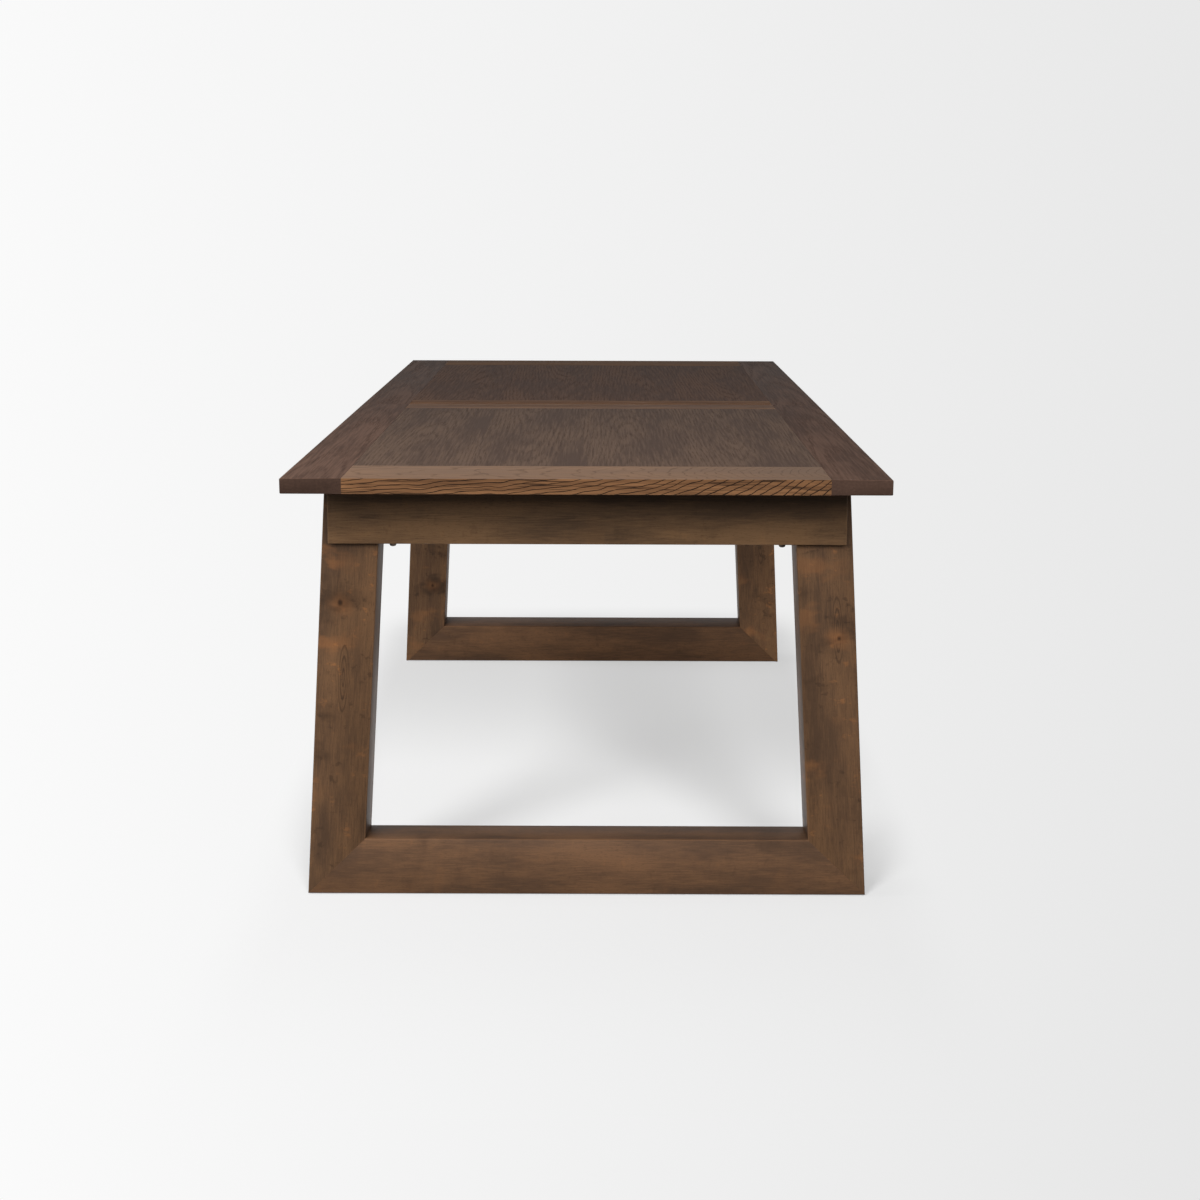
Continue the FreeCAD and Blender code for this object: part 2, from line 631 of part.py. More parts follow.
# Slides: an outer, a middle and an inner runner on each side, keyed together
def make_fixed_runner(end, side):
    """A runner screwed to one half. The near half carries the outer ones, the far half the inner ones."""
    end_sign = ENDS[end]
    away = SIDES[side] * (1 if end == "near" else -1)
    name = f"{side}_{end}_runner"
    face, back = f"{away} * {RUNNER_OFFSET}", f"{away} * ({RUNNER_OFFSET} + RunnerWidth)"
    groove = f"{away} * ({RUNNER_OFFSET} + KeyDepth + KeySlack)"
    wall = f"{away} * {RACK_BACK}"
    low = f"{KEY_BOTTOM} - KeySlack - {RUNNER_BOTTOM}"
    high = f"{KEY_BOTTOM} + KeyHeight + KeySlack - {RUNNER_BOTTOM}"
    rebate = "(RunnerHeight - GearRebate)"
    body = new_body(name + "_body")
    sketch = new_sketch(body, "XZ_Plane")
    draw_outline(sketch, [(face, "0"), (face, low), (groove, low), (groove, high), (face, high),
                          (face, rebate), (wall, rebate), (wall, "RunnerHeight"),
                          (back, "RunnerHeight"), (back, "0")])
    add_pad(body, sketch, RUNNER_LENGTH, both_ways=True)
    slide_x = f"{SIDES[side]} * {SLIDE_MIDDLE}"
    place(body, slide_x, f"{end_sign} * ({RUNNER_OUTER} - {RUNNER_INNER}) / 2", RUNNER_BOTTOM)
    relief = block(name + "_relief", ("4 * RunnerWidth", RUNNER_INNER, "Overrun"),
                   (slide_x, f"{-end_sign} * {RUNNER_INNER} / 2", f"{UNDERSIDE} - RunnerRelief"))
    keep(cut(name, body, relief), name)


def make_mid_runner(side):
    name = f"{side}_mid_runner"
    half = "(MidRunnerWidth / 2)"
    key = f"({half} + RunnerGap + KeyDepth)"
    top = f"({GEAR_LEVEL} - {MID_BOTTOM})"
    low, high = "KeyRise", "(KeyRise + KeyHeight)"
    right = [(half, "0"), (half, low), (key, low), (key, high), (half, high), (half, top)]
    left = [(f"-{across}", up) for across, up in reversed(right)]
    body = new_body(name + "_body")
    sketch = new_sketch(body, "XZ_Plane")
    draw_outline(sketch, right + left)
    add_pad(body, sketch, RUNNER_LENGTH, both_ways=True)
    slide_x = f"{SIDES[side]} * {SLIDE_MIDDLE}"
    place(body, slide_x, "0", MID_BOTTOM)
    bore = rod(name + "_bore", "AxleDiameter", "AxleEmbed", (slide_x, "0", f"{GEAR_LEVEL} - AxleEmbed"))
    keep(cut(name, body, bore), name)


for side in SIDES:
    for end in ENDS:
        make_fixed_runner(end, side)
    make_mid_runner(side)


# Gearing: a pinion on each middle runner rolls between a rack on the outer runner and one on the inner
PRESSURE_ANGLE = math.radians(value("PressureAngle"))
FLANK_STEPS = 5


def make_pinion(side):
    """A spur gear with involute flanks and a tooth pointing along +X."""
    teeth = round(value("PinionTeeth"))
    module = value("GearModule")
    pitch = value(PITCH_RADIUS)
    base = pitch * math.cos(PRESSURE_ANGLE)
    root = pitch - ROOT_SHARE * module
    tip = pitch + module
    half_tooth = (math.pi * module / 2 - value("Backlash")) / 2 / pitch
    pitch_involute = math.tan(PRESSURE_ANGLE) - PRESSURE_ANGLE

    def flank_angle(radius):
        slant = math.acos(min(1, base / radius))
        return half_tooth + pitch_involute - (math.tan(slant) - slant)

    start = max(base, root)
    radii = [start + (tip - start) * step / FLANK_STEPS for step in range(FLANK_STEPS + 1)]
    rising = [(root, flank_angle(start))] + [(radius, flank_angle(radius)) for radius in radii]
    if root >= base:
        rising = rising[1:]
    tooth = [(radius, -angle) for radius, angle in rising]
    tooth += [(radius, angle) for radius, angle in reversed(rising)]
    outline = []
    for number in range(teeth):
        centre = 2 * math.pi * number / teeth
        outline += [Vector(radius * math.cos(centre + angle), radius * math.sin(centre + angle), 0)
                    for radius, angle in tooth]
    thickness = value("GearThickness")
    wheel = Part.Face(Part.makePolygon(outline + outline[:1])).extrude(Vector(0, 0, thickness))
    bore = Part.makeCylinder(value("AxleDiameter / 2 + RunningFit"), thickness)
    pinion = doc.addObject("Part::Feature", f"{side}_pinion")
    pinion.Shape = wheel.cut(bore)
    place(pinion, f"{SIDES[side]} * {SLIDE_MIDDLE}", "0", GEAR_LEVEL)
    keep(pinion, f"{side}_pinion")


def make_rack(end, side):
    """A straight rack with a tooth gap beside the closed table's pinion."""
    away = SIDES[side] * (1 if end == "near" else -1)
    travel_way = -ENDS[end]
    module = value("GearModule")
    pitch = math.pi * module
    tip, root, back = value(RACK_TIP), value(f"{PITCH_RADIUS} + {ROOT_SHARE} * GearModule"), value(RACK_BACK)
    play = value("Backlash") / 2
    half_gap_tip = pitch / 4 + play / 2 + module * math.tan(PRESSURE_ANGLE)
    half_gap_root = pitch / 4 + play / 2 - ROOT_SHARE * module * math.tan(PRESSURE_ANGLE)
    before = math.floor(value("RackSpare") / pitch)
    after = math.floor(value(f"RackSpare + {TRAVEL} / 2") / pitch)
    outline = [Vector(away * back, travel_way * -(before + 1 / 2) * pitch, 0),
               Vector(away * tip, travel_way * -(before + 1 / 2) * pitch, 0)]
    for number in range(-before, after + 1):
        centre = number * pitch
        outline += [Vector(away * tip, travel_way * (centre - half_gap_tip), 0),
                    Vector(away * root, travel_way * (centre - half_gap_root), 0),
                    Vector(away * root, travel_way * (centre + half_gap_root), 0),
                    Vector(away * tip, travel_way * (centre + half_gap_tip), 0)]
    outline += [Vector(away * tip, travel_way * (after + 1 / 2) * pitch, 0),
                Vector(away * back, travel_way * (after + 1 / 2) * pitch, 0)]
    rack = doc.addObject("Part::Feature", f"{side}_{end}_rack")
    face = Part.Face(Part.makePolygon(outline + outline[:1]))
    rack.Shape = face.extrude(Vector(0, 0, value("GearThickness")))
    place(rack, f"{SIDES[side]} * {SLIDE_MIDDLE}", "0", GEAR_LEVEL)
    keep(rack, f"{side}_{end}_rack")


for side in SIDES:
    make_pinion(side)
    for end in ENDS:
        make_rack(end, side)

axles = [rod(f"axle_{side}", "AxleDiameter", "AxleEmbed + GearThickness + AxleTail",
             (f"{sign} * {SLIDE_MIDDLE}", "0", f"{GEAR_LEVEL} - AxleEmbed")) for side, sign in SIDES.items()]
keep(join("pinion_axles", "Compound", axles), "pinion_axles")


# Carriage: two cross bearers under the middle runners carry the folded leaf between the slides
def make_bearer(end):
    name = f"{end}_bearer"
    outer = "(LeafWidth / 2 + LeafPlay + LipWidth)"
    body = new_body(name)
    plan = new_sketch(body, "XY_Plane")
    draw_outline(plan, rectangle(f"2 * {SLIDE_MIDDLE} + MidRunnerWidth", "BearerWidth"))
    add_pad(body, plan, "BearerHeight")
    lip = new_sketch(body, "XY_Plane", "BearerHeight")
    half = f"({INNER_FACE} - LipInset)"
    edge, inside = f"{ENDS[end]} * BearerWidth / 2", f"{ENDS[end]} * (BearerWidth / 2 - LipWidth)"
    draw_outline(lip, [(f"-{half}", inside), (half, inside), (half, edge), (f"-{half}", edge)])
    add_pad(body, lip, "LipHeight")
    place(body, "0", f"{ENDS[end]} * ({outer} - BearerWidth / 2)", f"{MID_BOTTOM} - BearerHeight")
    keep(body, name)


HINGE_EDGE = "(TopWidth / 4)"
FOLD_LEVEL = f"({MID_BOTTOM} + TopThickness)"


def leaf_cutters(name, way):
    """Room for the hinge barrels and plates in one wing of the leaf."""
    cutters = []
    for number in (-1, 1):
        middle = f"{number} * HingeInset"
        cutters.append(lying_rod(f"{name}_barrel_room_{number + 2}", "HingeBarrel + 2 * HingeNotchSlack",
                                 "HingeLength + 2 * HingeNotchSlack", HINGE_EDGE,
                                 f"{middle} - HingeLength / 2 - HingeNotchSlack", FOLD_LEVEL, 1))
        bottom = FOLD_LEVEL if way > 0 else f"{FOLD_LEVEL} - HingeLeafThickness"
        cutters.append(block(f"{name}_plate_room_{number + 2}",
                             ("HingeLeafWidth", "HingeLength", "HingeLeafThickness"),
                             (f"{HINGE_EDGE} - HingeLeafWidth / 2", middle, bottom)))
    return join(name + "_rooms", "Compound", cutters)


def make_leaf():
    """The leaf folded in two with its undersides together, show face down and up."""
    wings = {"lower": (MID_BOTTOM, -1), "upper": (FOLD_LEVEL, 1)}
    for wing, (bottom, way) in wings.items():
        rooms = leaf_cutters(f"leaf_{wing}", way)
        name = f"leaf_{wing}_panel"
        panel = board(name + "_body", ("TopWidth / 2 - StileWidth", "LeafWidth", "TopThickness"),
                      ("StileWidth / 2", "0", bottom))
        keep(cut(name, panel, rooms), name)
        name = f"leaf_{wing}_stile"
        keep(board(name, ("StileWidth", "LeafWidth", "TopThickness"),
                   (f"-({HINGE_EDGE} - StileWidth / 2)", "0", bottom)), name)


def make_leaf_hinges():
    """Two butt hinges at the fold, shut, each a barrel and two plates."""
    hinges = []
    for number in (-1, 1):
        middle = f"{number} * HingeInset"
        barrel = lying_rod(f"leaf_hinge_barrel_{number + 2}", "HingeBarrel", "HingeLength", HINGE_EDGE,
                           f"{middle} - HingeLength / 2", FOLD_LEVEL, 1)
        plates = block(f"leaf_hinge_plates_{number + 2}",
                       ("HingeLeafWidth", "HingeLength", "2 * HingeLeafThickness"),
                       (f"{HINGE_EDGE} - HingeLeafWidth / 2", middle, f"{FOLD_LEVEL} - HingeLeafThickness"))
        hinges.append(join(f"leaf_hinge_{number + 2}", "MultiFuse", [barrel, plates]))
    keep(join("leaf_hinges", "Compound", hinges), "leaf_hinges")


for end in ENDS:
    make_bearer(end)
make_leaf()
make_leaf_hinges()


# Seam: alignment pins in the far half, and a turning latch each side
def make_seam_pins():
    pins = []
    for number in (-1, 0, 1):
        body = new_body(f"seam_pin_{number + 2}")
        sketch = new_sketch(body, "YZ_Plane")
        draw_outline(sketch, [("-PinReach", "0"), ("PinEmbed", "0"), ("PinEmbed", "PinDiameter / 2"),
                              ("-PinReach + PinTip", "PinDiameter / 2"),
                              ("-PinReach", "PinDiameter / 2 - PinTip / 2")])
        round_off = body.newObject("PartDesign::Revolution", body.Name + "_turned")
        round_off.Profile = sketch
        round_off.ReferenceAxis = (sketch, ["H_Axis"])
        round_off.Angle = FULL_TURN
        body.Tip = round_off
        pins.append(place(body, f"{number} * {PIN_SPACING}", "0", f"{UNDERSIDE} + TopThickness / 2"))
    keep(join("seam_pins", "Compound", pins), "seam_pins")


def make_latch(side):
    """A lever that swings half a turn to the keeper's stud. At rest it is open and points back."""
    sign = SIDES[side]
    name = f"{side}_latch"
    across = f"{sign} * {LATCH_X}"
    bottom = f"({LATCH_TOP} - LatchThickness)"
    reach = "(LatchRadius + LatchTip - LatchWidth / 2)"
    pivot = (across, f"-{LATCH_Y}", bottom)
    catch = (across, f"-{LATCH_Y} - LatchRadius", bottom)
    bar = block(name + "_bar", ("LatchWidth", reach, "LatchThickness"),
                (across, f"-{LATCH_Y} - {reach} / 2", bottom))
    heel = rod(name + "_heel", "LatchWidth", "LatchThickness", pivot)
    nose = rod(name + "_nose", "LatchWidth", "LatchThickness", (across, f"-{LATCH_Y} - {reach}", bottom))
    blank = join(name + "_blank", "MultiFuse", [bar, heel, nose])
    half_slot = "(KeeperStud / 2 + LatchSlack)"
    ring = cut(name + "_ring",
               rod(name + "_ring_outer", f"2 * (LatchRadius + {half_slot})", "LatchThickness", pivot),
               rod(name + "_ring_inner", f"2 * (LatchRadius - {half_slot})", "LatchThickness", pivot))
    mouth = block(name + "_mouth", ("LatchWidth", "2 * LatchRadius", "LatchThickness"),
                  (f"{across} + {sign} * LatchWidth / 2", f"-{LATCH_Y} - LatchRadius", bottom))
    slot = doc.addObject("Part::Common", name + "_slot")
    slot.Base = ring
    slot.Tool = mouth
    slot_end = rod(name + "_slot_end", f"2 * {half_slot}", "LatchThickness", catch)
    bore = rod(name + "_bore", "PivotDiameter + 2 * RunningFit", "LatchThickness", pivot)
    keep(cut(name, blank, join(name + "_cuts", "MultiFuse", [slot, slot_end, bore])), name)


def make_latch_plates():
    """Plates under the near half, each with the headed pivot of its latch."""
    plates = []
    for side, sign in SIDES.items():
        across = f"{sign} * {LATCH_X}"
        plate = block(f"latch_plate_{side}", ("PlateWidth", "PlateLength", "PlateThickness"),
                      (across, f"-{LATCH_Y}", LATCH_TOP))
        pivot = rod(f"latch_pivot_{side}", "PivotDiameter", "LatchThickness + PlateThickness / 2",
                    (across, f"-{LATCH_Y}", f"{LATCH_TOP} - LatchThickness"))
        head = rod(f"latch_pivot_head_{side}", "PivotHead", "PivotHeadHeight",
                   (across, f"-{LATCH_Y}", f"{LATCH_TOP} - LatchThickness - PivotHeadHeight"))
        plates.append(join(f"latch_base_{side}", "MultiFuse", [plate, pivot, head]))
    keep(join("latch_plates", "Compound", plates), "latch_plates")


def make_keepers():
    """Plates under the far half, each with a stud that a latch catches."""
    keepers = []
    for side, sign in SIDES.items():
        across = f"{sign} * {LATCH_X}"
        plate = block(f"keeper_plate_{side}", ("PlateWidth", "PlateLength", "PlateThickness"),
                      (across, f"{LATCH_Y}", LATCH_TOP))
        stud = rod(f"keeper_stud_{side}", "KeeperStud", "KeeperStudHeight + PlateThickness / 2",
                   (across, f"{LATCH_Y}", f"{LATCH_TOP} - KeeperStudHeight"))
        keepers.append(join(f"keeper_{side}", "MultiFuse", [plate, stud]))
    keep(join("latch_keepers", "Compound", keepers), "latch_keepers")


make_seam_pins()
for side in SIDES:
    make_latch(side)
make_latch_plates()
make_keepers()


# Check every object and every sub-part, then write one file for each sub-part
doc.recompute()
faults = [item.Name for item in doc.Objects if {"Invalid", "Error"} & set(item.State)]
faults += [item.Label for item in subparts if item.Shape.isNull() or not item.Shape.isValid()]
if faults:
    raise RuntimeError("failed objects: " + ", ".join(faults))

os.makedirs("parts", exist_ok=True)
for item in subparts:
    item.Shape.exportStep(os.path.join("parts", item.Label + ".step"))
    box = item.Shape.BoundBox
    print(f"{item.Label:24s} solids {len(item.Shape.Solids)}  x {box.XMin:8.1f} {box.XMax:8.1f}"
          f"  y {box.YMin:8.1f} {box.YMax:8.1f}  z {box.ZMin:7.1f} {box.ZMax:7.1f}"
          f"  volume {item.Shape.Volume / 1000:9.1f} cm3")
print(len(subparts), "sub-parts")
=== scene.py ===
# %% [markdown]
# # An extending dining table in Blender
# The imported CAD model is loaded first. It is a fixed frame: every piece made below is put where the
# frame says, and replaces or dresses one of its nodes. Lengths are metres, +X is the right of someone
# who stands at the near end, +Y runs to the far end and +Z is up.

# %% Load the frame
import math
from contextlib import contextmanager

import bmesh
import bpy
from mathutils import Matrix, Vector


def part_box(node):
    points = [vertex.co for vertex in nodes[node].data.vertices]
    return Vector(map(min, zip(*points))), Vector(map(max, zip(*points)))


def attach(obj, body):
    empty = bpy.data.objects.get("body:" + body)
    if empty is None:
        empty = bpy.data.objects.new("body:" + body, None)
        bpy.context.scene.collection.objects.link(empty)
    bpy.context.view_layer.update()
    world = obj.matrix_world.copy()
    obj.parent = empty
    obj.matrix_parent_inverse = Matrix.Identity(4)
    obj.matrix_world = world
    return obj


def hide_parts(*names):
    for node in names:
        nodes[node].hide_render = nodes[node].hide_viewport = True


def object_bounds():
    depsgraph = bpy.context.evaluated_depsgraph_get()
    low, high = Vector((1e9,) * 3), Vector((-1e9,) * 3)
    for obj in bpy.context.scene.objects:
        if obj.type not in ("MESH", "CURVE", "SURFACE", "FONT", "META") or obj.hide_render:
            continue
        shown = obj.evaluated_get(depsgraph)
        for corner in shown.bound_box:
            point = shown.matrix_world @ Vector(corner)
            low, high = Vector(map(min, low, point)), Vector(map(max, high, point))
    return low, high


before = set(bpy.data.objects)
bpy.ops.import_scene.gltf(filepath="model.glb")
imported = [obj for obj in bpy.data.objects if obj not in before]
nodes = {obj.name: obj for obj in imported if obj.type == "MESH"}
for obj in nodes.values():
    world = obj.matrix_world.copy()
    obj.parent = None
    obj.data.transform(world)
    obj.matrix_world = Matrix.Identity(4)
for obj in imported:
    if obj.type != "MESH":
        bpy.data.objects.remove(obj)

solid_low, solid_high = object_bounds()

# %% [markdown]
# ## The camera
# The picture was taken from the near end, a little above the table top, with the camera tipped down
# by about 12 degrees. A camera could be aimed with a Track To constraint, but the picture also has a
# slight roll, so the three directions are worked out from pitch, yaw and roll, and set as a matrix.

# %% Place the camera
CAMERA_PLACE = Vector((0.0248, -3.9987, 1.2016))
CAMERA_PITCH = math.radians(12.196)
CAMERA_YAW = math.radians(-0.0526)
CAMERA_ROLL = math.radians(-0.1736)
CAMERA_LENS = 56.55


def aim_camera():
    ahead = Vector((math.sin(CAMERA_YAW) * math.cos(CAMERA_PITCH),
                    math.cos(CAMERA_YAW) * math.cos(CAMERA_PITCH), -math.sin(CAMERA_PITCH)))
    level = Vector((math.cos(CAMERA_YAW), -math.sin(CAMERA_YAW), 0))
    down = ahead.cross(level)
    right = level * math.cos(CAMERA_ROLL) + down * math.sin(CAMERA_ROLL)
    up = level * math.sin(CAMERA_ROLL) - down * math.cos(CAMERA_ROLL)
    bpy.ops.object.camera_add(location=CAMERA_PLACE)
    camera = bpy.context.active_object
    camera.data.lens = CAMERA_LENS
    camera.data.clip_end = 100
    matrix = camera.matrix_world.copy()
    for column, way in enumerate((right, up, -ahead)):
        for row in range(3):
            matrix[row][column] = way[row]
    camera.matrix_world = matrix
    bpy.context.scene.camera = camera
    return camera


camera = aim_camera()
print("camera at", tuple(round(c, 3) for c in camera.location))

# %% [markdown]
# ## Finishes written as sums
# Each finish is a graph of shader nodes. Wiring nodes one by one is slow to read, so a small class
# wraps an output socket: adding or multiplying such sockets adds the Math nodes. Any other node comes
# from one method, which takes the node's type, its settings, and the values of its sockets.

# %% A socket that can be reckoned with
class Socket:
    """An output in a finish's graph, or the graph alone, to start from."""

    def __init__(self, tree, output=None):
        self.tree = tree
        self.output = output

    def node(self, kind, settings, values, output=0):
        made = self.tree.nodes.new("ShaderNode" + kind)
        for key, setting in settings.items():
            setattr(made, key, setting)
        for key, item in values.items():
            if isinstance(item, Socket):
                self.tree.links.new(item.output, made.inputs[key])
            else:
                made.inputs[key].default_value = item
        return Socket(self.tree, made.outputs[output])

    def math(self, operation, *others):
        return self.node("Math", {"operation": operation}, dict(enumerate((self, *others))))

    def __add__(self, other):
        return self.math("ADD", other)

    def __sub__(self, other):
        return self.math("SUBTRACT", other)

    def __rsub__(self, other):
        return self.node("Math", {"operation": "SUBTRACT"}, {0: other, 1: self})

    def __mul__(self, other):
        return self.math("MULTIPLY", other)

    def __truediv__(self, other):
        return self.math("DIVIDE", other)

    __radd__ = __add__
    __rmul__ = __mul__


# %% Short names for the nodes that come back often
def noise(parts, along, across, detail=2.0, roughness=0.5):
    """Smooth random values from 0 to 1, with so many bumps in a metre along the timber and across it."""
    u, v, w = parts
    place = u.node("CombineXYZ", {}, {0: u * along, 1: v * across, 2: w * across})
    settings = {"Vector": place, "Scale": 1.0, "Detail": detail, "Roughness": roughness}
    return place.node("TexNoise", {}, settings)


def ramp(level, low, high):
    """0 below low, 1 above high, and a smooth rise between them."""
    return level.node("MapRange", {"interpolation_type": "SMOOTHSTEP"},
                      {"Value": level, "From Min": low, "From Max": high})


def tint(share, first, second):
    """A colour between two others. The Mix node's sockets 6 and 7 are its colours."""
    return share.node("Mix", {"data_type": "RGBA"}, {0: share, 6: first, 7: second}, 2)


def split(place):
    return [place.node("SeparateXYZ", {}, {0: place}, axis) for axis in range(3)]


def bump(height, strength, depth):
    """Unevenness that catches the light, from a height of 0 to 1."""
    return height.node("Bump", {}, {"Strength": strength, "Distance": depth, "Height": height})


def new_finish(name, **constants):
    """A material whose shader has these constants set on its own sockets."""
    finish = bpy.data.materials.new(name)
    finish.use_nodes = True
    shader = finish.node_tree.nodes["Principled BSDF"]
    for key, item in constants.items():
        shader.inputs[key.replace("_", " ")].default_value = item
    return finish, Socket(finish.node_tree), shader


def feed(finish, shader, **sockets):
    """Link sockets to the shader's inputs."""
    for key, item in sockets.items():
        finish.node_tree.links.new(item.output, shader.inputs[key.replace("_", " ")])


def rgb(red, green, blue):
    """A colour from its usual 0 to 255 values, in the shader's linear numbers."""
    return tuple((c / 255 / 12.92 if c <= 10 else ((c / 255 + 0.055) / 1.055) ** 2.4)
                 for c in (red, green, blue)) + (1.0,)


# %% [markdown]
# ## The timber's own directions
# Wood isn't a picture on a surface: its rings run through the whole board, so the end of a board
# shows the same rings as its face. Each board therefore carries an attribute named grain, with the
# place of every point along, across and through its own timber, counted from its middle, and a shift
# along it, so that no two boards look cut from the same spot. The attributes knot and crown are the
# place counted from a knot and from where the face just grazes a ring. Face marks say where the
# rounded rims are, which are lightened where the stain is rubbed thin and also as a painted highlight,
# which faces are cut ends, which drink more stain, and which are edges, where the pores stay full.
# One more face mark makes each board darker or lighter than its neighbours: partly the board's own
# colour, partly painted light and shade. CAD nodes have no attributes, so their finishes read Object
# coordinates.

# %% Where a point lies in its timber
def timber_parts(root, along_axis=None, name="grain"):
    """Along, across and through the timber, from an attribute or, for a CAD node, from its axes."""
    if along_axis is None:
        return split(root.node("Attribute", {"attribute_name": name}, {}, "Vector"))
    x, y, z = split(root.node("TexCoord", {}, {}, "Object"))
    return (x, y, z) if along_axis == "X" else (y, x, z) if along_axis == "Y" else (z, x, y)


def mark(root, name):
    return root.node("Attribute", {"attribute_name": name}, {}, "Fac")


def toned_and_lit(root, colour):
    """How much darker or lighter a board is than its neighbours: partly its own colour, partly painted
    light and shade.
    """
    return root.node("VectorMath", {"operation": "SCALE"}, {0: colour, "Scale": mark(root, "tone_and_light")})


def darker(colour, share):
    return tuple(c * share for c in colour[:3]) + (1.0,)


def length_of(first, second):
    return (first * first + second * second).math("SQRT")


# %% [markdown]
# ## Stained oak
# The top is oak: growth rings a few millimetres apart, each with a row of open pores that the dark
# stain fills. The rings are drawn as distance from a slightly tilted pith below the board, bent by
# slow noise, which gives the arches of a plain-sawn face. The pores are long thin noise, kept to the
# porous part of each ring. The panel is veneer, laid in leaves side by side, so there the place
# across starts anew in each leaf, and every second leaf lies the other way round. The near end rail
# is cut so that its rings climb along its front, where bold dark lines cross the edge at a slant. Its
# upper face is tinted paler and greyer, a painted sheen, and darker towards its right end, painted
# shade.

# %% Make an oak finish
RAIL_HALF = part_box("near_end_rail")[1].x
# A grey that the upper face of the near end rail is tinted towards, as a painted sheen
SHEEN_GREY = rgb(118, 101, 88)
PORE_FINENESS = 560.0
LEAF_SLIDE = 0.03
LEAF_DEPTH = 0.018
LEAF_SHIFT = 1.7


def oak(name, pale, deep, pore, along_axis=None, leaf=None, ring=0.0052, pith=0.055, tilt=0.03,
        climb=None, wander=0.5, bend=0.012, wave=(7.0, 70.0), contrast=1.0, face_pores=0.5, band=0.30,
        open_pore=0.36, dash=24.0, presence=0.30, sheen=0.003, painted_shade=0.0, painted_sheen=0.0, rub_and_highlight=0.25, glint=0.0):
    """Stained oak, with the colours of its pale and deep fibre and of its pores.

    leaf is the width of a veneer leaf, ring the spacing of the rings, pith the depth of the pith
    under the board's middle, tilt and climb its slope, and wander, bend and wave how the rings stray.
    Pores fill the share band of a ring, where the strand is above open_pore and the cloud above
    presence, with dash of them in a metre, and face_pores of them show on a face that is no edge. On
    such faces, the painted shade darkens the board towards one end of its run, and the painted sheen
    greys it all. The rims are lightened, partly as wear and partly as a painted highlight, and glint
    polishes them.
    """
    finish, root, shader = new_finish(name, Specular_IOR_Level=sheen, Coat_Roughness=0.3)
    run, v, w = timber_parts(root, along_axis)
    u = run + mark(root, "shift")
    if climb:
        w = w * (1 - ramp(run, -0.1, RAIL_HALF) * 0.4)
    slope, depth = tilt, w + pith
    if leaf:
        number = (v / leaf).math("FLOOR")
        chance = (number * 12.9 + mark(root, "shift") * 3.1).math("SINE")
        v = v - (number + 0.5) * leaf + chance * LEAF_SLIDE
        slope = (number * math.pi).math("COSINE") * tilt
        depth = depth + (number * 5.1).math("SINE") * LEAF_DEPTH
        u = u + chance * LEAF_SHIFT
    parts = (u, v, w)
    slow = noise(parts, 2.2, 7.0, 1.0, 0.4) - 0.5
    slower = noise(parts, 0.9, 3.0, 1.0) - 0.5
    depth = depth + run * slope + slower * bend * 2.0
    if climb:
        far = run + RAIL_HALF
        depth = depth - far * climb[0] - far * far * far * climb[1]
    rings = length_of(v + slow * bend, depth) / ring + noise(parts, *wave) * wander
    phase = rings.math("FRACT")
    porous = ramp(phase, 0.0, band * 0.5) * (1 - ramp(phase, band, band * 2.0))
    strand = noise(parts, dash, PORE_FINENESS, 1.5, 0.6)
    fibre = noise(parts, 9.0, 260.0, 3.0, 0.6)
    cloud = noise(parts, 2.4, 12.0, 3.0, 0.55)
    face = 1 - mark(root, "edge")
    share = 1 - face * (1 - face_pores)
    line = ramp(strand, open_pore, open_pore + 0.24) * porous * ramp(cloud, presence, presence + 0.32)
    pores = (line * 0.85 + ramp(strand, 0.54, 0.68) * 0.30) * contrast * share
    body = tint(ramp(fibre * 0.5 + cloud * 0.5, 0.38, 0.62), deep, pale)
    # Painted shade, darker towards one end of the run, and a painted sheen that greys, on faces that are no
    # edges
    if painted_shade:
        body = tint(ramp(run, 0.0, RAIL_HALF) * face * painted_shade, body, darker(deep, 0.6))
    if painted_sheen:
        body = tint(face * painted_sheen, body, SHEEN_GREY)
    stained = tint(pores.math("MINIMUM", 0.9), body, pore)
    # The rims are lightened: partly wear, and partly a painted highlight, which is strongest on the rails
    # at the seam
    rubbed_and_lit = tint(mark(root, "rim") * rub_and_highlight, stained, darker(pale, 1.3))
    ends = tint(mark(root, "end") * 0.75, rubbed_and_lit, darker(deep, 0.62))
    feed(finish, shader, Base_Color=ends if along_axis else toned_and_lit(root, ends),
         Roughness=0.42 + pores * 0.2 + cloud * 0.1, Normal=bump(1 - pores, 0.35, 0.0004))
    if glint:
        feed(finish, shader, Coat_Weight=mark(root, "rim") * glint)
    return finish


PANEL_TONES = rgb(92, 74, 62), rgb(70, 55, 47), rgb(36, 29, 27)
# The far panel's own darker and warmer colours, part of the painted shade on the far half of the top
FAR_PANEL_SHADED_TONES = rgb(92, 69, 56), rgb(70, 51, 42), rgb(36, 28, 25)
STILE_TONES = rgb(96, 74, 63), rgb(72, 55, 47), rgb(42, 32, 29)
RAIL_TONES = rgb(127, 91, 62), rgb(94, 66, 45), rgb(25, 21, 19)
MID_RAIL_TONES = rgb(118, 89, 68), rgb(86, 63, 49), rgb(44, 31, 26)
RAIL_LAY = {"ring": 0.0062, "pith": 0.30, "face_pores": 0.12}
STILE_LAY = {"tilt": 0.015, "contrast": 0.8}
LEAF_LAY = {"leaf": 0.193, "ring": 0.0066, "tilt": 0.05, "contrast": 0.72, "bend": 0.018, "wander": 0.95}
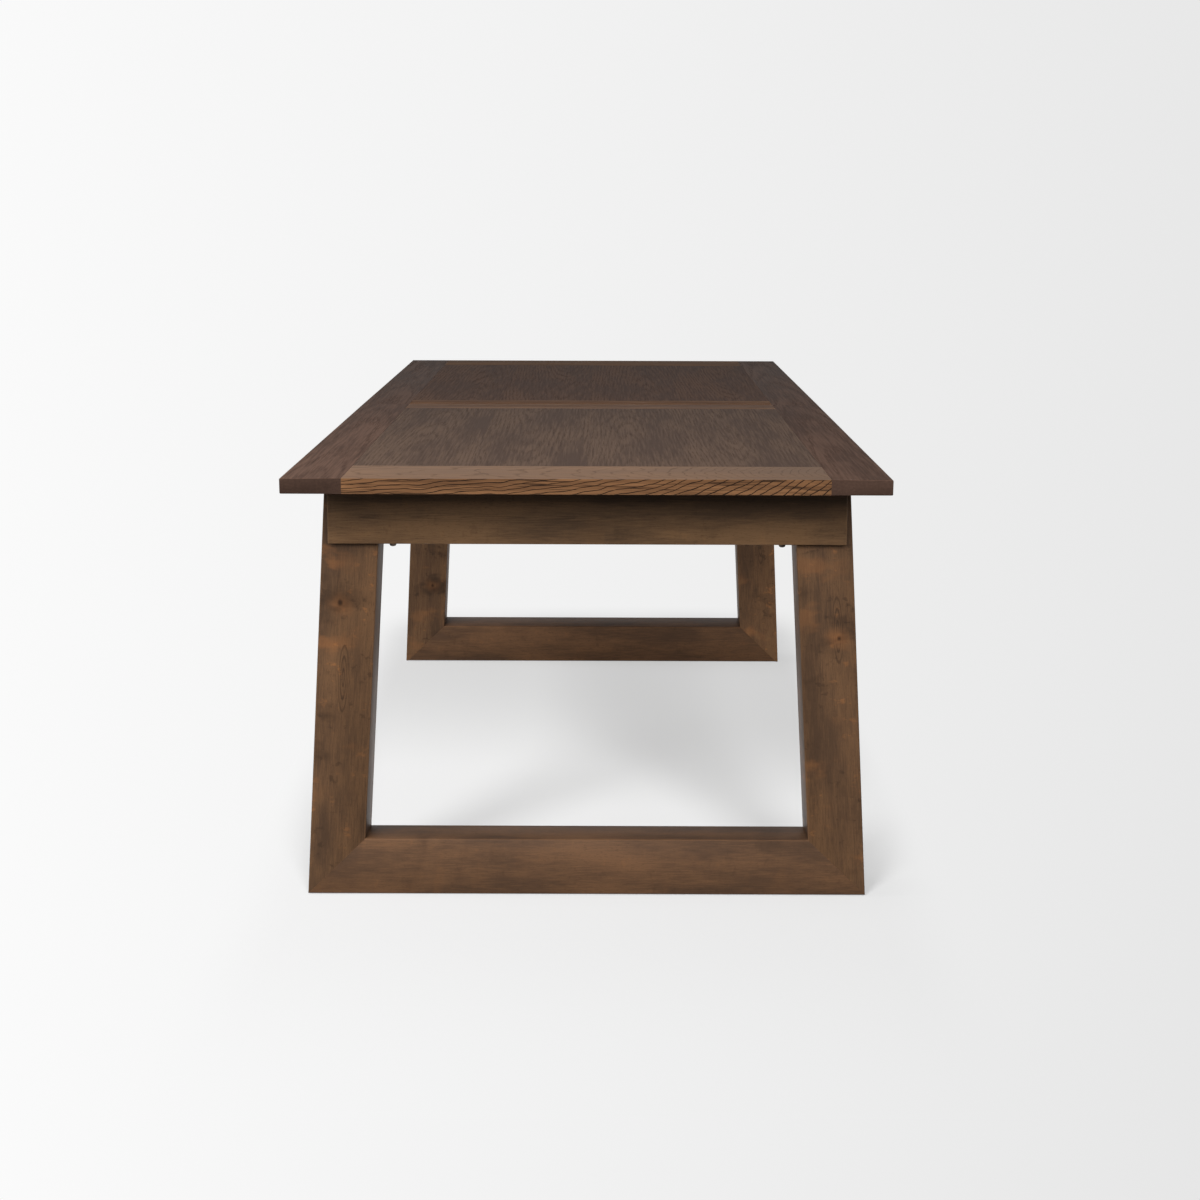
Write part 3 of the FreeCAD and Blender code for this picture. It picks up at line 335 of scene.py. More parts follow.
# The near end rail's finish carries the painted sheen and painted shade on its upper face; the far end
# rail's finish has neither
oak_end_rail = oak("oak_end_rail", *RAIL_TONES, **RAIL_LAY, tilt=0.0, climb=(0.06, 0.24), wander=2.1,
                   bend=0.009, wave=(17.0, 26.0), contrast=2.5, band=0.11, open_pore=0.18, dash=14.0,
                   presence=0.0, sheen=0.01, painted_shade=0.5, painted_sheen=0.4)
oak_far_rail = oak("oak_far_rail", *RAIL_TONES, **RAIL_LAY, tilt=0.01, contrast=1.2)
# Its rims are lightened most, as a painted highlight along the seam between the halves
oak_mid_rail = oak("oak_mid_rail", *MID_RAIL_TONES, ring=0.005, pith=0.28, tilt=0.01, contrast=0.9,
                   rub_and_highlight=0.8, glint=0.5)
oak_stile = oak("oak_stile", *STILE_TONES, ring=0.0050, pith=0.16, **STILE_LAY)
oak_panel = oak("oak_panel", *PANEL_TONES, pith=0.050, **LEAF_LAY)
oak_far_panel = oak("oak_far_panel", *FAR_PANEL_SHADED_TONES, pith=0.050, **LEAF_LAY)
oak_leaf_panel = oak("oak_leaf_panel", *PANEL_TONES, "Y", pith=-0.66, **LEAF_LAY)
oak_leaf_stile = oak("oak_leaf_stile", *STILE_TONES, "Y", pith=-0.55, **STILE_LAY)
print("oak finishes:", [m.name for m in bpy.data.materials if m.name.startswith("oak")])

# %% [markdown]
# ## Stained maple
# The trestles and aprons are a close-grained timber under the same stain. It shows no pores at arm's
# length: what one sees is a cloudy take-up of the stain, fine fibre lines, smoky bands and warm
# glows across the grain where the fibres roll or crimp, growth lines that close into long ovals, and
# here and there a small knot with a warm halo. The clouds, bands and glows are noise, each at its own
# scale. The ovals and the knot are distances, bent by a little noise, from two places on the board.

# %% Make a maple finish
OVAL_SPACING = 0.0030
OVAL_REACH = 0.007, 0.0125
KNOT_HALO = 0.036
KNOT_CORE = 0.001, 0.006


def maple(name, pale, deep, dark, glow, smoke=0.75, oval_length=7.0, figure=0.55, rub_and_highlight=0.22):
    """Stained maple. smoke is the strength of its bands and glows, and figure that of its ovals."""
    finish, root, shader = new_finish(name, Specular_IOR_Level=0.06)
    run, v, w = timber_parts(root)
    parts = run + mark(root, "shift"), v, w
    cloud = noise(parts, 4.0, 14.0, 3.0, 0.55)
    curl = noise(parts, 15.0, 8.0, 4.0, 0.5)
    crimp = noise(parts, 62.0, 40.0, 4.0, 0.6)
    where = noise(parts, 3.1, 6.0, 1.0)
    fibre = noise(parts, 30.0, 420.0, 2.0, 0.6)
    fleck = noise(parts, 110.0, 640.0, 1.0, 0.6)
    streak = noise(parts, 7.0, 90.0, 2.0, 0.5)
    body = tint(ramp(cloud * 0.56 + fibre * 0.24 + streak * 0.10 + fleck * 0.10, 0.38, 0.62), deep, pale)
    body = tint(ramp(fleck, 0.54, 0.72) * 0.34, body, dark)
    busy = ramp(where, 0.42, 0.60)
    body = tint(ramp(curl, 0.54, 0.70) * busy * smoke, body, dark)
    body = tint((1 - ramp(curl, 0.34, 0.45)) * busy * smoke * 0.6, body, glow)
    body = tint(ramp(crimp, 0.58, 0.68) * ramp(cloud, 0.46, 0.60) * smoke * 0.75, body, glow)
    body = tint((1 - ramp(crimp, 0.34, 0.42)) * ramp(curl, 0.44, 0.56) * smoke * 0.6, body, dark)
    along, across, _ = timber_parts(root, name="crown")
    oval = length_of(along / oval_length, across) + (cloud - 0.5) * 0.006
    phase = (oval / OVAL_SPACING).math("FRACT")
    line = ramp(phase, 0.45, 0.8) * (1 - ramp(phase, 0.85, 1.0)) * (1 - ramp(oval, *OVAL_REACH))
    body = tint(line * figure, body, dark)
    along, across, _ = timber_parts(root, name="knot")
    away = length_of(along * 1.3, across) + (curl - 0.5) * 0.06 + (streak - 0.5) * 0.02
    body = tint((1 - ramp(away, 0.0, KNOT_HALO)) * 0.60, body, glow)
    body = tint(ramp(curl, 0.50, 0.60) * (1 - ramp(away, 0.020, 0.075)) * 0.45, body, dark)
    core = length_of(along * 0.8, across) + (streak - 0.5) * 0.006
    body = tint((1 - ramp(core, *KNOT_CORE)) * 0.8, body, darker(dark, 0.5))
    # The rims are lightened: partly wear, and partly a painted highlight
    rubbed_and_lit = tint(mark(root, "rim") * rub_and_highlight, body, darker(pale, 1.25))
    ends = tint(mark(root, "end") * 0.7, rubbed_and_lit, darker(dark, 0.7))
    feed(finish, shader, Base_Color=toned_and_lit(root, ends), Roughness=0.42 + streak * 0.12,
         Normal=bump(fibre * 0.6 + streak * 0.4, 0.18, 0.0003))
    return finish


LEG_TONES = rgb(110, 81, 57), rgb(77, 58, 44), rgb(46, 35, 28), rgb(148, 98, 60)
FOOT_TONES = rgb(110, 80, 57), rgb(80, 60, 46), rgb(50, 39, 31), rgb(130, 90, 59)
APRON_TONES = rgb(119, 90, 63), rgb(84, 64, 47), rgb(48, 37, 28), rgb(134, 98, 64)
maple_leg = maple("maple_leg", *LEG_TONES)
maple_foot = maple("maple_foot", *FOOT_TONES, smoke=0.30)
maple_apron = maple("maple_apron", *APRON_TONES, smoke=0.30, oval_length=24.0, figure=0.3, rub_and_highlight=0.6)
print("maple finishes:", maple_leg.name, maple_foot.name, maple_apron.name)

# %% [markdown]
# ## Plain hardwood, nylon and metals
# The runners, bearers, blocks and tenons are waxed beech, pale with short dark flecks. The gearing is
# moulded nylon, a little uneven in gloss, and the fittings are satin brass and black-oxide steel with
# fine brushing and a worn, lighter tone where the noise is high.

# %% Make the plain finishes
def beech(name, along_axis):
    finish, root, shader = new_finish(name, Specular_IOR_Level=0.35)
    parts = timber_parts(root, along_axis)
    fleck = noise(parts, 110.0, 620.0, 0.0)
    cloud = noise(parts, 3.0, 30.0, 2.0)
    fibre = noise(parts, 12.0, 420.0, 2.0, 0.6)
    body = tint(ramp(cloud * 0.6 + fibre * 0.4, 0.3, 0.7), rgb(170, 128, 88), rgb(202, 164, 120))
    flecked = tint(ramp(fleck, 0.64, 0.72) * 0.55, body, rgb(128, 88, 56))
    ends = tint(mark(root, "end") * 0.5, flecked, rgb(120, 84, 54))
    feed(finish, shader, Base_Color=ends, Roughness=0.46 + fibre * 0.14, Normal=bump(fibre, 0.15, 0.0003))
    return finish


def nylon():
    finish, root, shader = new_finish("nylon", Specular_IOR_Level=0.45)
    place = split(root.node("TexCoord", {}, {}, "Object"))
    grains = noise(place, 900.0, 900.0, 1.0)
    cloud = noise(place, 25.0, 25.0)
    body = tint(cloud, rgb(222, 218, 206), rgb(205, 200, 186))
    feed(finish, shader, Base_Color=body, Roughness=0.44 + cloud * 0.12, Normal=bump(grains, 0.12, 0.0002))
    return finish


def metal(name, bright, dull, rough):
    finish, root, shader = new_finish(name, Metallic=1.0)
    place = split(root.node("TexCoord", {}, {}, "Object"))
    brushed = noise(place, 60.0, 900.0, 1.0)
    worn = noise(place, 45.0, 45.0, 3.0, 0.6)
    body = tint(ramp(worn, 0.4, 0.7), dull, bright)
    feed(finish, shader, Base_Color=body, Roughness=rough + worn * 0.16 + brushed * 0.06,
         Normal=bump(brushed, 0.10, 0.0001))
    return finish


beech_lengthwise = beech("beech_lengthwise", "Y")
beech_crosswise = beech("beech_crosswise", "X")
beech_board = beech("beech_board", None)
nylon_white = nylon()
satin_brass = metal("satin_brass", rgb(222, 186, 112), rgb(176, 138, 72), 0.26)
black_steel = metal("black_steel", rgb(104, 92, 82), rgb(60, 52, 46), 0.38)
print("finishes in all:", len(bpy.data.materials))

# %% [markdown]
# ## Working on boards
# Each visible board starts as a cube primitive at its size and place, and is then worked in edit
# mode: turned, sawn off by a bisecting plane, grooved or tongued by an extrusion, and its edges eased
# with a bevel. Edges and faces are chosen by where they lie, as one would point at them by hand. A
# hole is a cylinder, taken away by a Boolean modifier.

# %% Helpers for edit mode
UP = Vector((0, 0, 1))
ALIGNED = 0.99
LEVEL = 0.1


def choose(*pieces):
    """Select these pieces alone, with the first one active, or nothing at all."""
    bpy.ops.object.select_all(action="DESELECT")
    for piece in pieces:
        piece.select_set(True)
    if pieces:
        bpy.context.view_layer.objects.active = pieces[0]


@contextmanager
def editing(piece):
    """Edit mode on one piece, with nothing selected at first."""
    choose(piece)
    bpy.ops.object.mode_set(mode="EDIT")
    bpy.ops.mesh.select_all(action="DESELECT")
    yield
    bpy.ops.object.mode_set(mode="OBJECT")


def pick_faces(piece, wanted):
    """Select the faces whose middle and normal pass a test."""
    bpy.ops.mesh.select_mode(type="FACE")
    bpy.ops.mesh.select_all(action="DESELECT")
    mesh = bmesh.from_edit_mesh(piece.data)
    for face in mesh.faces:
        if wanted(face.calc_center_median(), face.normal):
            face.select_set(True)
    bmesh.update_edit_mesh(piece.data)


def pick_edges(piece, wanted):
    """Select the edges whose middle and direction pass a test."""
    bpy.ops.mesh.select_mode(type="EDGE")
    bpy.ops.mesh.select_all(action="DESELECT")
    mesh = bmesh.from_edit_mesh(piece.data)
    for edge in mesh.edges:
        start, end = edge.verts[0].co, edge.verts[1].co
        if wanted((start + end) / 2, (end - start).normalized()):
            edge.select_set(True)
    bmesh.update_edit_mesh(piece.data)


def pick_all():
    bpy.ops.mesh.select_all(action="SELECT")


def push(way):
    """Extrude what is selected."""
    bpy.ops.mesh.extrude_region_move(TRANSFORM_OT_translate={"value": way})


def start_board(name, low, high):
    """A cube primitive between two corners."""
    low, high = Vector(low), Vector(high)
    choose()
    bpy.ops.mesh.primitive_cube_add(size=1, location=(low + high) / 2, scale=high - low)
    board = bpy.context.active_object
    board.name = board.data.name = name + "_board"
    bpy.ops.object.transform_apply()
    return board


def cut_away(piece, cutter):
    """Take a cutter's shape out of a piece, and the cutter away."""
    choose(piece)
    bpy.ops.object.modifier_add(type="BOOLEAN")
    piece.modifiers[0].object = cutter
    bpy.ops.object.modifier_apply(modifier=piece.modifiers[0].name)
    bpy.data.objects.remove(cutter)


def turn(angle, axis, centre):
    """Turn what is selected, right-handed. With no window the operator turns the other way."""
    bpy.ops.transform.rotate(value=-angle, orient_axis=axis, orient_type="GLOBAL", center_override=centre)


def saw(plane_at, plane_way):
    """Saw off what lies beyond a plane, on the side its normal points to."""
    pick_all()
    bpy.ops.mesh.bisect(plane_co=plane_at, plane_no=plane_way, use_fill=True, clear_outer=True)


def ease(piece, radius, wanted, segments=3):
    """Round some edges."""
    pick_edges(piece, wanted)
    bpy.ops.mesh.bevel(offset=radius, segments=segments, profile=0.5, affect="EDGES")


def score(piece, wanted, at, way):
    """Cut the faces that pass a test along a plane, with nothing removed."""
    pick_faces(piece, wanted)
    bpy.ops.mesh.bisect(plane_co=at, plane_no=way)


# %% Give a board its timber
SQUARE = 0.985
LOOKS_DOWN = -0.1
LOOKS_ALONG = 0.9
LOOKS_ACROSS = 0.7
NOWHERE = (0.9, 0.9)
SHIFT_STEP = 1.37
SHIFT_RANGE = 5.0
SHIFT_LEAST = 2.0
timber_shift = {"number": 0}


def lay_timber(piece, along, across, middle, tone_and_light=1.0, end_tone=None, knot=NOWHERE, crown=NOWHERE):
    """Write a board's timber attributes. knot and crown are places along and across from its middle.

    A face that looks squarely in none of the timber's directions is a rounded rim, unless it looks
    down: rims that look down are left out, so that the lightening of the rims, which is partly a
    painted highlight, stays off them, where shade falls.
    """
    along, across = Vector(along).normalized(), Vector(across).normalized()
    through = along.cross(across)
    mesh = piece.data
    for name, start in (("grain", (0, 0)), ("knot", knot), ("crown", crown)):
        places = mesh.attributes.new(name, "FLOAT_VECTOR", "POINT").data
        for vertex in mesh.vertices:
            place = vertex.co - Vector(middle)
            places[vertex.index].vector = (place.dot(along) - start[0], place.dot(across) - start[1],
                                           place.dot(through))
    timber_shift["number"] += 1
    shift = timber_shift["number"] * SHIFT_STEP % SHIFT_RANGE + SHIFT_LEAST
    facing = [([abs(face.normal.dot(way)) for way in (along, across, through)], face.normal.z)
              for face in mesh.polygons]
    marks = {"shift": lambda ways, up: shift,
             "rim": lambda ways, up: float(max(ways) < SQUARE and up > LOOKS_DOWN),
             "end": lambda ways, up: float(ways[0] > LOOKS_ALONG),
             "edge": lambda ways, up: float(ways[1] > LOOKS_ACROSS),
             "tone_and_light": lambda ways, up: end_tone if ways[0] > LOOKS_ALONG and end_tone else tone_and_light}
    for name, rule in marks.items():
        values = mesh.attributes.new(name, "FLOAT", "FACE").data
        for number, (ways, up) in enumerate(facing):
            values[number].value = rule(ways, up)


SMOOTH_ANGLE = math.radians(38)


def finish_piece(piece, body, finish, slot, *replaced):
    """Shade a piece smooth by angle, give it its finish and its body, and let it stand for its nodes."""
    choose(piece)
    bpy.ops.object.shade_smooth_by_angle(angle=SMOOTH_ANGLE)
    piece.data.materials.clear()
    piece.data.materials.append(finish)
    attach(piece, body)
    if replaced:
        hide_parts(*replaced)
    print(piece.name, "has", len(piece.data.polygons), "faces")


# %% [markdown]
# ## The top's boards
# Each half of the top is a frame: two stiles along the sides, a wide rail at the end and a narrow one
# at the seam, round a veneered panel. The panel's tongue sits in a groove in the boards round it. The
# outside edges are rounded by 2 mm and every joint has a hair of a bevel, as sanding leaves it, which
# is what shows the joints in the light.

# %% Tongue, groove and joint bevels
JOINT_BEVEL = 0.00035
EDGE_RADIUS = 0.002
TONGUE = 0.008
TONGUE_ROOM = 0.001
TONGUE_LOW = 0.7455
TONGUE_HIGH = 0.7535
TOP_END = solid_high.y
TOP_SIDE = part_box("near_stile_right")[1].x
TOP_LEVEL = solid_high.z
TOP_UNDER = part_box("near_panel")[0].z
CLOSE = 0.0002
ENDS = {"near": -1, "far": 1}
SIDES = {"left": -1, "right": 1}


def groove(piece, way, run=None):
    """Score the face that looks a given way at the tongue's height, and push the strip between inwards."""
    way = Vector(way)

    def looking(at, normal):
        return normal.dot(way) > ALIGNED

    def in_strip(at, normal):
        return looking(at, normal) and TONGUE_LOW < at.z < TONGUE_HIGH

    for level in (TONGUE_LOW, TONGUE_HIGH):
        score(piece, looking, (0, 0, level), UP)
    for stop in run or ():
        score(piece, in_strip, (0, stop, 0), (0, 1, 0))
    pick_faces(piece, lambda at, normal: in_strip(at, normal) and (not run or run[0] < at.y < run[1]))
    push(-way * (TONGUE + TONGUE_ROOM))


def on_outside(at, way):
    """True for a level edge along the top's outline."""
    outline = abs(abs(at.x) - TOP_SIDE) < CLOSE or abs(abs(at.y) - TOP_END) < CLOSE
    return outline and abs(way.z) < LEVEL


def on_face_edge(at, way):
    """True for a level edge of the top or underside that isn't on the outline."""
    level = abs(at.z - TOP_LEVEL) < CLOSE or abs(at.z - TOP_UNDER) < CLOSE
    return level and abs(way.z) < LEVEL and not on_outside(at, way)


# %% Stiles
# The tones of each stile's faces and of its cut ends. The faces of the right-hand and far stiles are
# darker, as painted shade: less light falls on the right and far parts of the top.
STILE_TONE_AND_SHADE = {"near_stile_left": (0.97, 0.92), "near_stile_right": (0.88, 1.22),
              "far_stile_left": (0.86, 1.0), "far_stile_right": (0.88, 0.95)}


def make_stile(end, side):
    name = f"{end}_stile_{side}"
    low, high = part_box(name)
    board = start_board(name, low, high)
    inner = -SIDES[side]
    panel_low, panel_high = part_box(f"{end}_panel")
    with editing(board):
        groove(board, (inner, 0, 0), (panel_low.y - TONGUE_ROOM, panel_high.y + TONGUE_ROOM))
        ease(board, JOINT_BEVEL, on_face_edge, 1)
        ease(board, EDGE_RADIUS, on_outside)
    tone_and_light, end_tone = STILE_TONE_AND_SHADE[name]
    lay_timber(board, (0, 1, 0), (1, 0, 0), (low + high) / 2, tone_and_light=tone_and_light, end_tone=end_tone)
    finish_piece(board, end + "_half", oak_stile, "oak_stile", name)


# %% Rails, with holes for the alignment pins in the two at the seam
# How light each rail is. The far rails are darker, as painted shade on the far half of the top, and the
# near seam rail is a little lighter
RAIL_TONE_AND_SHADE = {"near_end_rail": 1.0, "far_end_rail": 0.68, "near_inner_rail": 1.06, "far_inner_rail": 0.86}
SEAM_RADIUS = 0.0014
SEAM_NEAR = 0.002
PIN_RADIUS = 0.00475
PIN_HOLE_RADIUS = 0.0048
PIN_HOLE_DEPTH = {"near": 0.013, "far": 0.018}
PIN_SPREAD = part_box("seam_pins")[1].x - PIN_RADIUS


def bore_pin_holes(rail, end):
    """Bore a hole for each alignment pin into the rail's seam face."""
    middle = (TOP_LEVEL + TOP_UNDER) / 2
    for x in (-PIN_SPREAD, 0, PIN_SPREAD):
        choose()
        bpy.ops.mesh.primitive_cylinder_add(
            vertices=32, radius=PIN_HOLE_RADIUS, depth=PIN_HOLE_DEPTH[end] * 2,
            location=(x, 0, middle), rotation=(math.pi / 2, 0, 0))
        bpy.ops.object.transform_apply()
        cut_away(rail, bpy.context.active_object)


def on_seam_edge(at, way):
    """True for the edge of the top at the seam."""
    return abs(at.y) < SEAM_NEAR and at.z > TOP_LEVEL - CLOSE and abs(way.x) > ALIGNED


def make_rail(name, end, finish, groove_way):
    low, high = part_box(name)
    board = start_board(name, low, high)
    with editing(board):
        groove(board, (0, groove_way, 0))
        ease(board, SEAM_RADIUS, on_seam_edge, 2)
        ease(board, JOINT_BEVEL, lambda at, way: on_face_edge(at, way) and abs(at.y) > SEAM_NEAR * 2, 1)
        ease(board, EDGE_RADIUS, lambda at, way: on_outside(at, way) and abs(way.x) > ALIGNED)
    if name.endswith("inner_rail"):
        bore_pin_holes(board, end)
    lay_timber(board, (1, 0, 0), (0, 1, 0), (low + high) / 2, tone_and_light=RAIL_TONE_AND_SHADE[name])
    finish_piece(board, end + "_half", finish, "oak_rail", name)


for end, sign in ENDS.items():
    for side in SIDES:
        make_stile(end, side)
    make_rail(f"{end}_end_rail", end, oak_end_rail if sign < 0 else oak_far_rail, -sign)
    make_rail(f"{end}_inner_rail", end, oak_mid_rail, sign)

# %% Panels
# How light each panel is. The far panel is darker, as painted shade on the far half of the top, and the
# near one a little lighter
PANEL_TONE_AND_SHADE = {"near": 1.03, "far": 0.87}
PANEL_FINISH = {"near": oak_panel, "far": oak_far_panel}


def make_panel(end):
    name = f"{end}_panel"
    low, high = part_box(name)
    shoulder = Vector((TONGUE, TONGUE, 0))
    board = start_board(name, low + shoulder, high - shoulder)
    middle, half = (low + high) / 2, (high - low) / 2 - shoulder
    with editing(board):
        for level in (TONGUE_LOW, TONGUE_HIGH):
            score(board, lambda at, normal: abs(normal.z) < LEVEL, (0, 0, level), UP)
        for way in ((1, 0, 0), (-1, 0, 0), (0, 1, 0), (0, -1, 0)):
            way = Vector(way)
            reach = abs(way.dot(half))
            pick_faces(board, lambda at, normal: normal.dot(way) > ALIGNED
                       and TONGUE_LOW < at.z < TONGUE_HIGH and abs((at - middle).dot(way) - reach) < CLOSE)
            push(way * TONGUE)
        ease(board, JOINT_BEVEL,
             lambda at, way: min(abs(at.z - TOP_LEVEL), abs(at.z - TOP_UNDER)) < CLOSE, 1)
    lay_timber(board, (0, 1, 0), (1, 0, 0), middle, tone_and_light=PANEL_TONE_AND_SHADE[end])
    finish_piece(board, end + "_half", PANEL_FINISH[end], "oak_panel", name)


for end in ENDS:
    make_panel(end)

# %% [markdown]
# ## The trestles
# Each trestle is a frame that leans 3.43 degrees along the table, and its legs also splay sideways.
# A leg is modelled upright at its foot's place, turned by its splay, then by the lean, and sawn level
# at the floor and under the top, and along the mitre. The foot rail and head rail are made the same
# way, so that all their faces meet.

# %% The trestle's measures
FOOT_HALF = 0.487
FOOT_FACE = 0.885
FLOOR_GAP = 0.002
LEAN = math.radians(3.43)
LEG_WIDTH = 0.096
LEG_DEPTH = 0.090
FOOT_HEIGHT = 0.099
FRAME_RISE = TOP_UNDER - FLOOR_GAP
FRAME_LENGTH = FRAME_RISE / math.cos(LEAN)
SPLAY_REACH = 0.0425
SPLAY = math.atan(SPLAY_REACH / FRAME_LENGTH)
LEG_RADIUS = 0.0025
LEG_SPARE = 0.05
print("splay", round(math.degrees(SPLAY), 2), "degrees, frame length", round(FRAME_LENGTH, 4))


def lean_way(sign, way):
    """A direction in a trestle's own upright frame, as it lies when the trestle leans."""
    x, y, z = way
    angle = sign * LEAN
    return Vector((x, y * math.cos(angle) - z * math.sin(angle), y * math.sin(angle) + z * math.cos(angle)))


def foot_point(sign, x, z):
    """A point of a trestle's outer face, from its place across and its height up the lean."""
    return Vector((0, sign * FOOT_FACE, FLOOR_GAP)) + lean_way(sign, (x, 0, z))


def upright_board(name, sign, across, front, depth, heights):
    """A board of the trestle before it leans: front is how far it stands behind the outer face."""
    edges = sorted((sign * (FOOT_FACE - front), sign * (FOOT_FACE - front - depth)))
    return start_board(name, (across[0], edges[0], heights[0]), (across[1], edges[1], heights[1]))


def mitre_plane(sign, side_sign):
    """A point on the mitre, and its normal, which points to the foot rail."""
    inner = FOOT_HALF - math.tan(SPLAY) * FOOT_HEIGHT - LEG_WIDTH
    way = Vector((-side_sign * FOOT_HEIGHT, 0, -(FOOT_HALF - inner))).normalized()
    return foot_point(sign, side_sign * FOOT_HALF, 0), lean_way(sign, way)


def lean_over(sign):
    """Lean all of the piece that is being edited."""
    pick_all()
    turn(sign * LEAN, "X", (0, sign * FOOT_FACE, FLOOR_GAP))


def ease_mitre(piece, sign, side_sign):
    """Ease the two slanting edges of the mitre."""
    mitre_at, mitre_way = mitre_plane(sign, side_sign)
    ease(piece, JOINT_BEVEL, lambda at, way: abs((at - mitre_at).dot(mitre_way)) < CLOSE
         and abs(way.y) < 0.2 and abs(way.z) > 0.5, 1)


# %% Legs
# Each leg's tone, and the places of its knot and of its oval, up from the floor and across. The far
# legs are lightened, as painted light in place of the light that the far trestle lacks under the top,
# the right one most, where the near trestle's shadow falls on it.
LEG_TIMBER = {
    "near_leg_left": {"tone_and_light": 1.00, "knot": (0.515, -0.012), "crown": (0.385, -0.002)},
    "near_leg_right": {"tone_and_light": 1.00, "knot": (0.455, 0.019), "crown": (0.47, 0.017)},
    "far_leg_left": {"tone_and_light": 1.42, "knot": (0.21, 0.014), "crown": (0.50, -0.01)},
    "far_leg_right": {"tone_and_light": 2.05, "knot": (0.60, -0.018), "crown": (0.33, 0.012)},
}


def make_leg(end, side):
    name, sign, side_sign = f"{end}_leg_{side}", ENDS[end], SIDES[side]
    half = LEG_WIDTH * math.cos(SPLAY) / 2
    centre = side_sign * (FOOT_HALF - LEG_WIDTH / 2)
    leg = upright_board(name, sign, (centre - half, centre + half), 0, LEG_DEPTH,
                        (FLOOR_GAP - LEG_SPARE, TOP_LEVEL + LEG_SPARE))
    along = lean_way(sign, (-side_sign * math.sin(SPLAY), 0, math.cos(SPLAY)))
    with editing(leg):
        pick_all()
        turn(-side_sign * SPLAY, "Y", (centre, 0, FLOOR_GAP))
        lean_over(sign)
        saw((0, 0, FLOOR_GAP), -UP)
        saw((0, 0, TOP_UNDER), UP)
        saw(*mitre_plane(sign, side_sign))
        ease(leg, LEG_RADIUS, lambda at, way: abs(way.dot(along)) > ALIGNED)
        ease_mitre(leg, sign, side_sign)
    across = lean_way(sign, (math.cos(SPLAY), 0, side_sign * math.sin(SPLAY)))
    lay_timber(leg, along, across, foot_point(sign, centre, 0), **LEG_TIMBER[name])
    finish_piece(leg, end + "_half", maple_leg, "stained_maple", name)


# %% Foot rails
# How light each foot rail is: the far one is lightened, as painted light in place of the light it lacks
FOOT_PAINTED_LIGHT = {"near": 1.0, "far": 1.6}
FOOT_SPARE = 0.02


def make_foot_rail(end):
    name, sign, half = f"{end}_foot_rail", ENDS[end], FOOT_HALF + FOOT_SPARE
    rail = upright_board(name, sign, (-half, half), 0, LEG_DEPTH,
                         (FLOOR_GAP - FOOT_SPARE, FLOOR_GAP + FOOT_HEIGHT))
    with editing(rail):
        lean_over(sign)
        saw((0, 0, FLOOR_GAP), -UP)
        for side_sign in SIDES.values():
            mitre_at, mitre_way = mitre_plane(sign, side_sign)
            saw(mitre_at, -mitre_way)
        top = FLOOR_GAP + FOOT_HEIGHT * 0.9
        ease(rail, LEG_RADIUS,
             lambda at, way: abs(way.x) > ALIGNED and (at.z > top or at.z < FLOOR_GAP + CLOSE))
        for side_sign in SIDES.values():
            ease_mitre(rail, sign, side_sign)
    middle = foot_point(sign, 0, FOOT_HEIGHT / 2)
    lay_timber(rail, (1, 0, 0), lean_way(sign, UP), middle, tone_and_light=FOOT_PAINTED_LIGHT[end])
    finish_piece(rail, end + "_half", maple_foot, "stained_maple", name)


# %% Head rails
HEAD_DEPTH = 0.060
HEAD_BOTTOM = TOP_UNDER - 0.117
HEAD_RADIUS = 0.0012


def make_head_rail(end):
    name, sign = f"{end}_head_rail", ENDS[end]
    rail = upright_board(name, sign, (-FOOT_HALF, FOOT_HALF), (LEG_DEPTH - HEAD_DEPTH) / 2, HEAD_DEPTH,
                         (HEAD_BOTTOM - LEG_SPARE, TOP_LEVEL + LEG_SPARE))
    with editing(rail):
        lean_over(sign)
        saw((0, 0, HEAD_BOTTOM), -UP)
        saw((0, 0, TOP_UNDER), UP)
        for side_sign in SIDES.values():
            saw(foot_point(sign, side_sign * (FOOT_HALF - LEG_WIDTH), 0),
                lean_way(sign, (side_sign * math.cos(SPLAY), 0, math.sin(SPLAY))))
        ease(rail, HEAD_RADIUS, lambda at, way: abs(way.x) > ALIGNED and at.z < HEAD_BOTTOM + CLOSE, 2)
    lay_timber(rail, (1, 0, 0), lean_way(sign, UP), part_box(name)[0])
    finish_piece(rail, end + "_half", beech_board, "plain_hardwood", name)


# %% End aprons
APRON_DEPTH = 0.1175
APRON_MIDDLE = 0.06
APRON_THICKNESS = 0.022
APRON_RADIUS = 0.0015
APRON_CROWN = (-0.17, -0.012)


def make_end_apron(end):
    name, sign = f"{end}_end_apron", ENDS[end]
    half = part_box(name)[1].x
    board = upright_board(name, sign, (-half, half), -APRON_THICKNESS, APRON_THICKNESS,
                          (FLOOR_GAP + FRAME_LENGTH - APRON_DEPTH, TOP_LEVEL))
    with editing(board):
        lean_over(sign)
        saw((0, 0, TOP_UNDER), UP)
        face_way = lean_way(sign, (0, sign, 0))
        face = foot_point(sign, 0, 0) + face_way * APRON_THICKNESS
        ease(board, APRON_RADIUS,
             lambda at, way: abs((at - face).dot(face_way)) < CLOSE and at.z < TOP_UNDER - CLOSE)
    middle = foot_point(sign, 0, FRAME_LENGTH - APRON_MIDDLE)
    lay_timber(board, (1, 0, 0), lean_way(sign, UP), middle, crown=APRON_CROWN)
    finish_piece(board, end + "_half", maple_apron, "stained_maple", name)


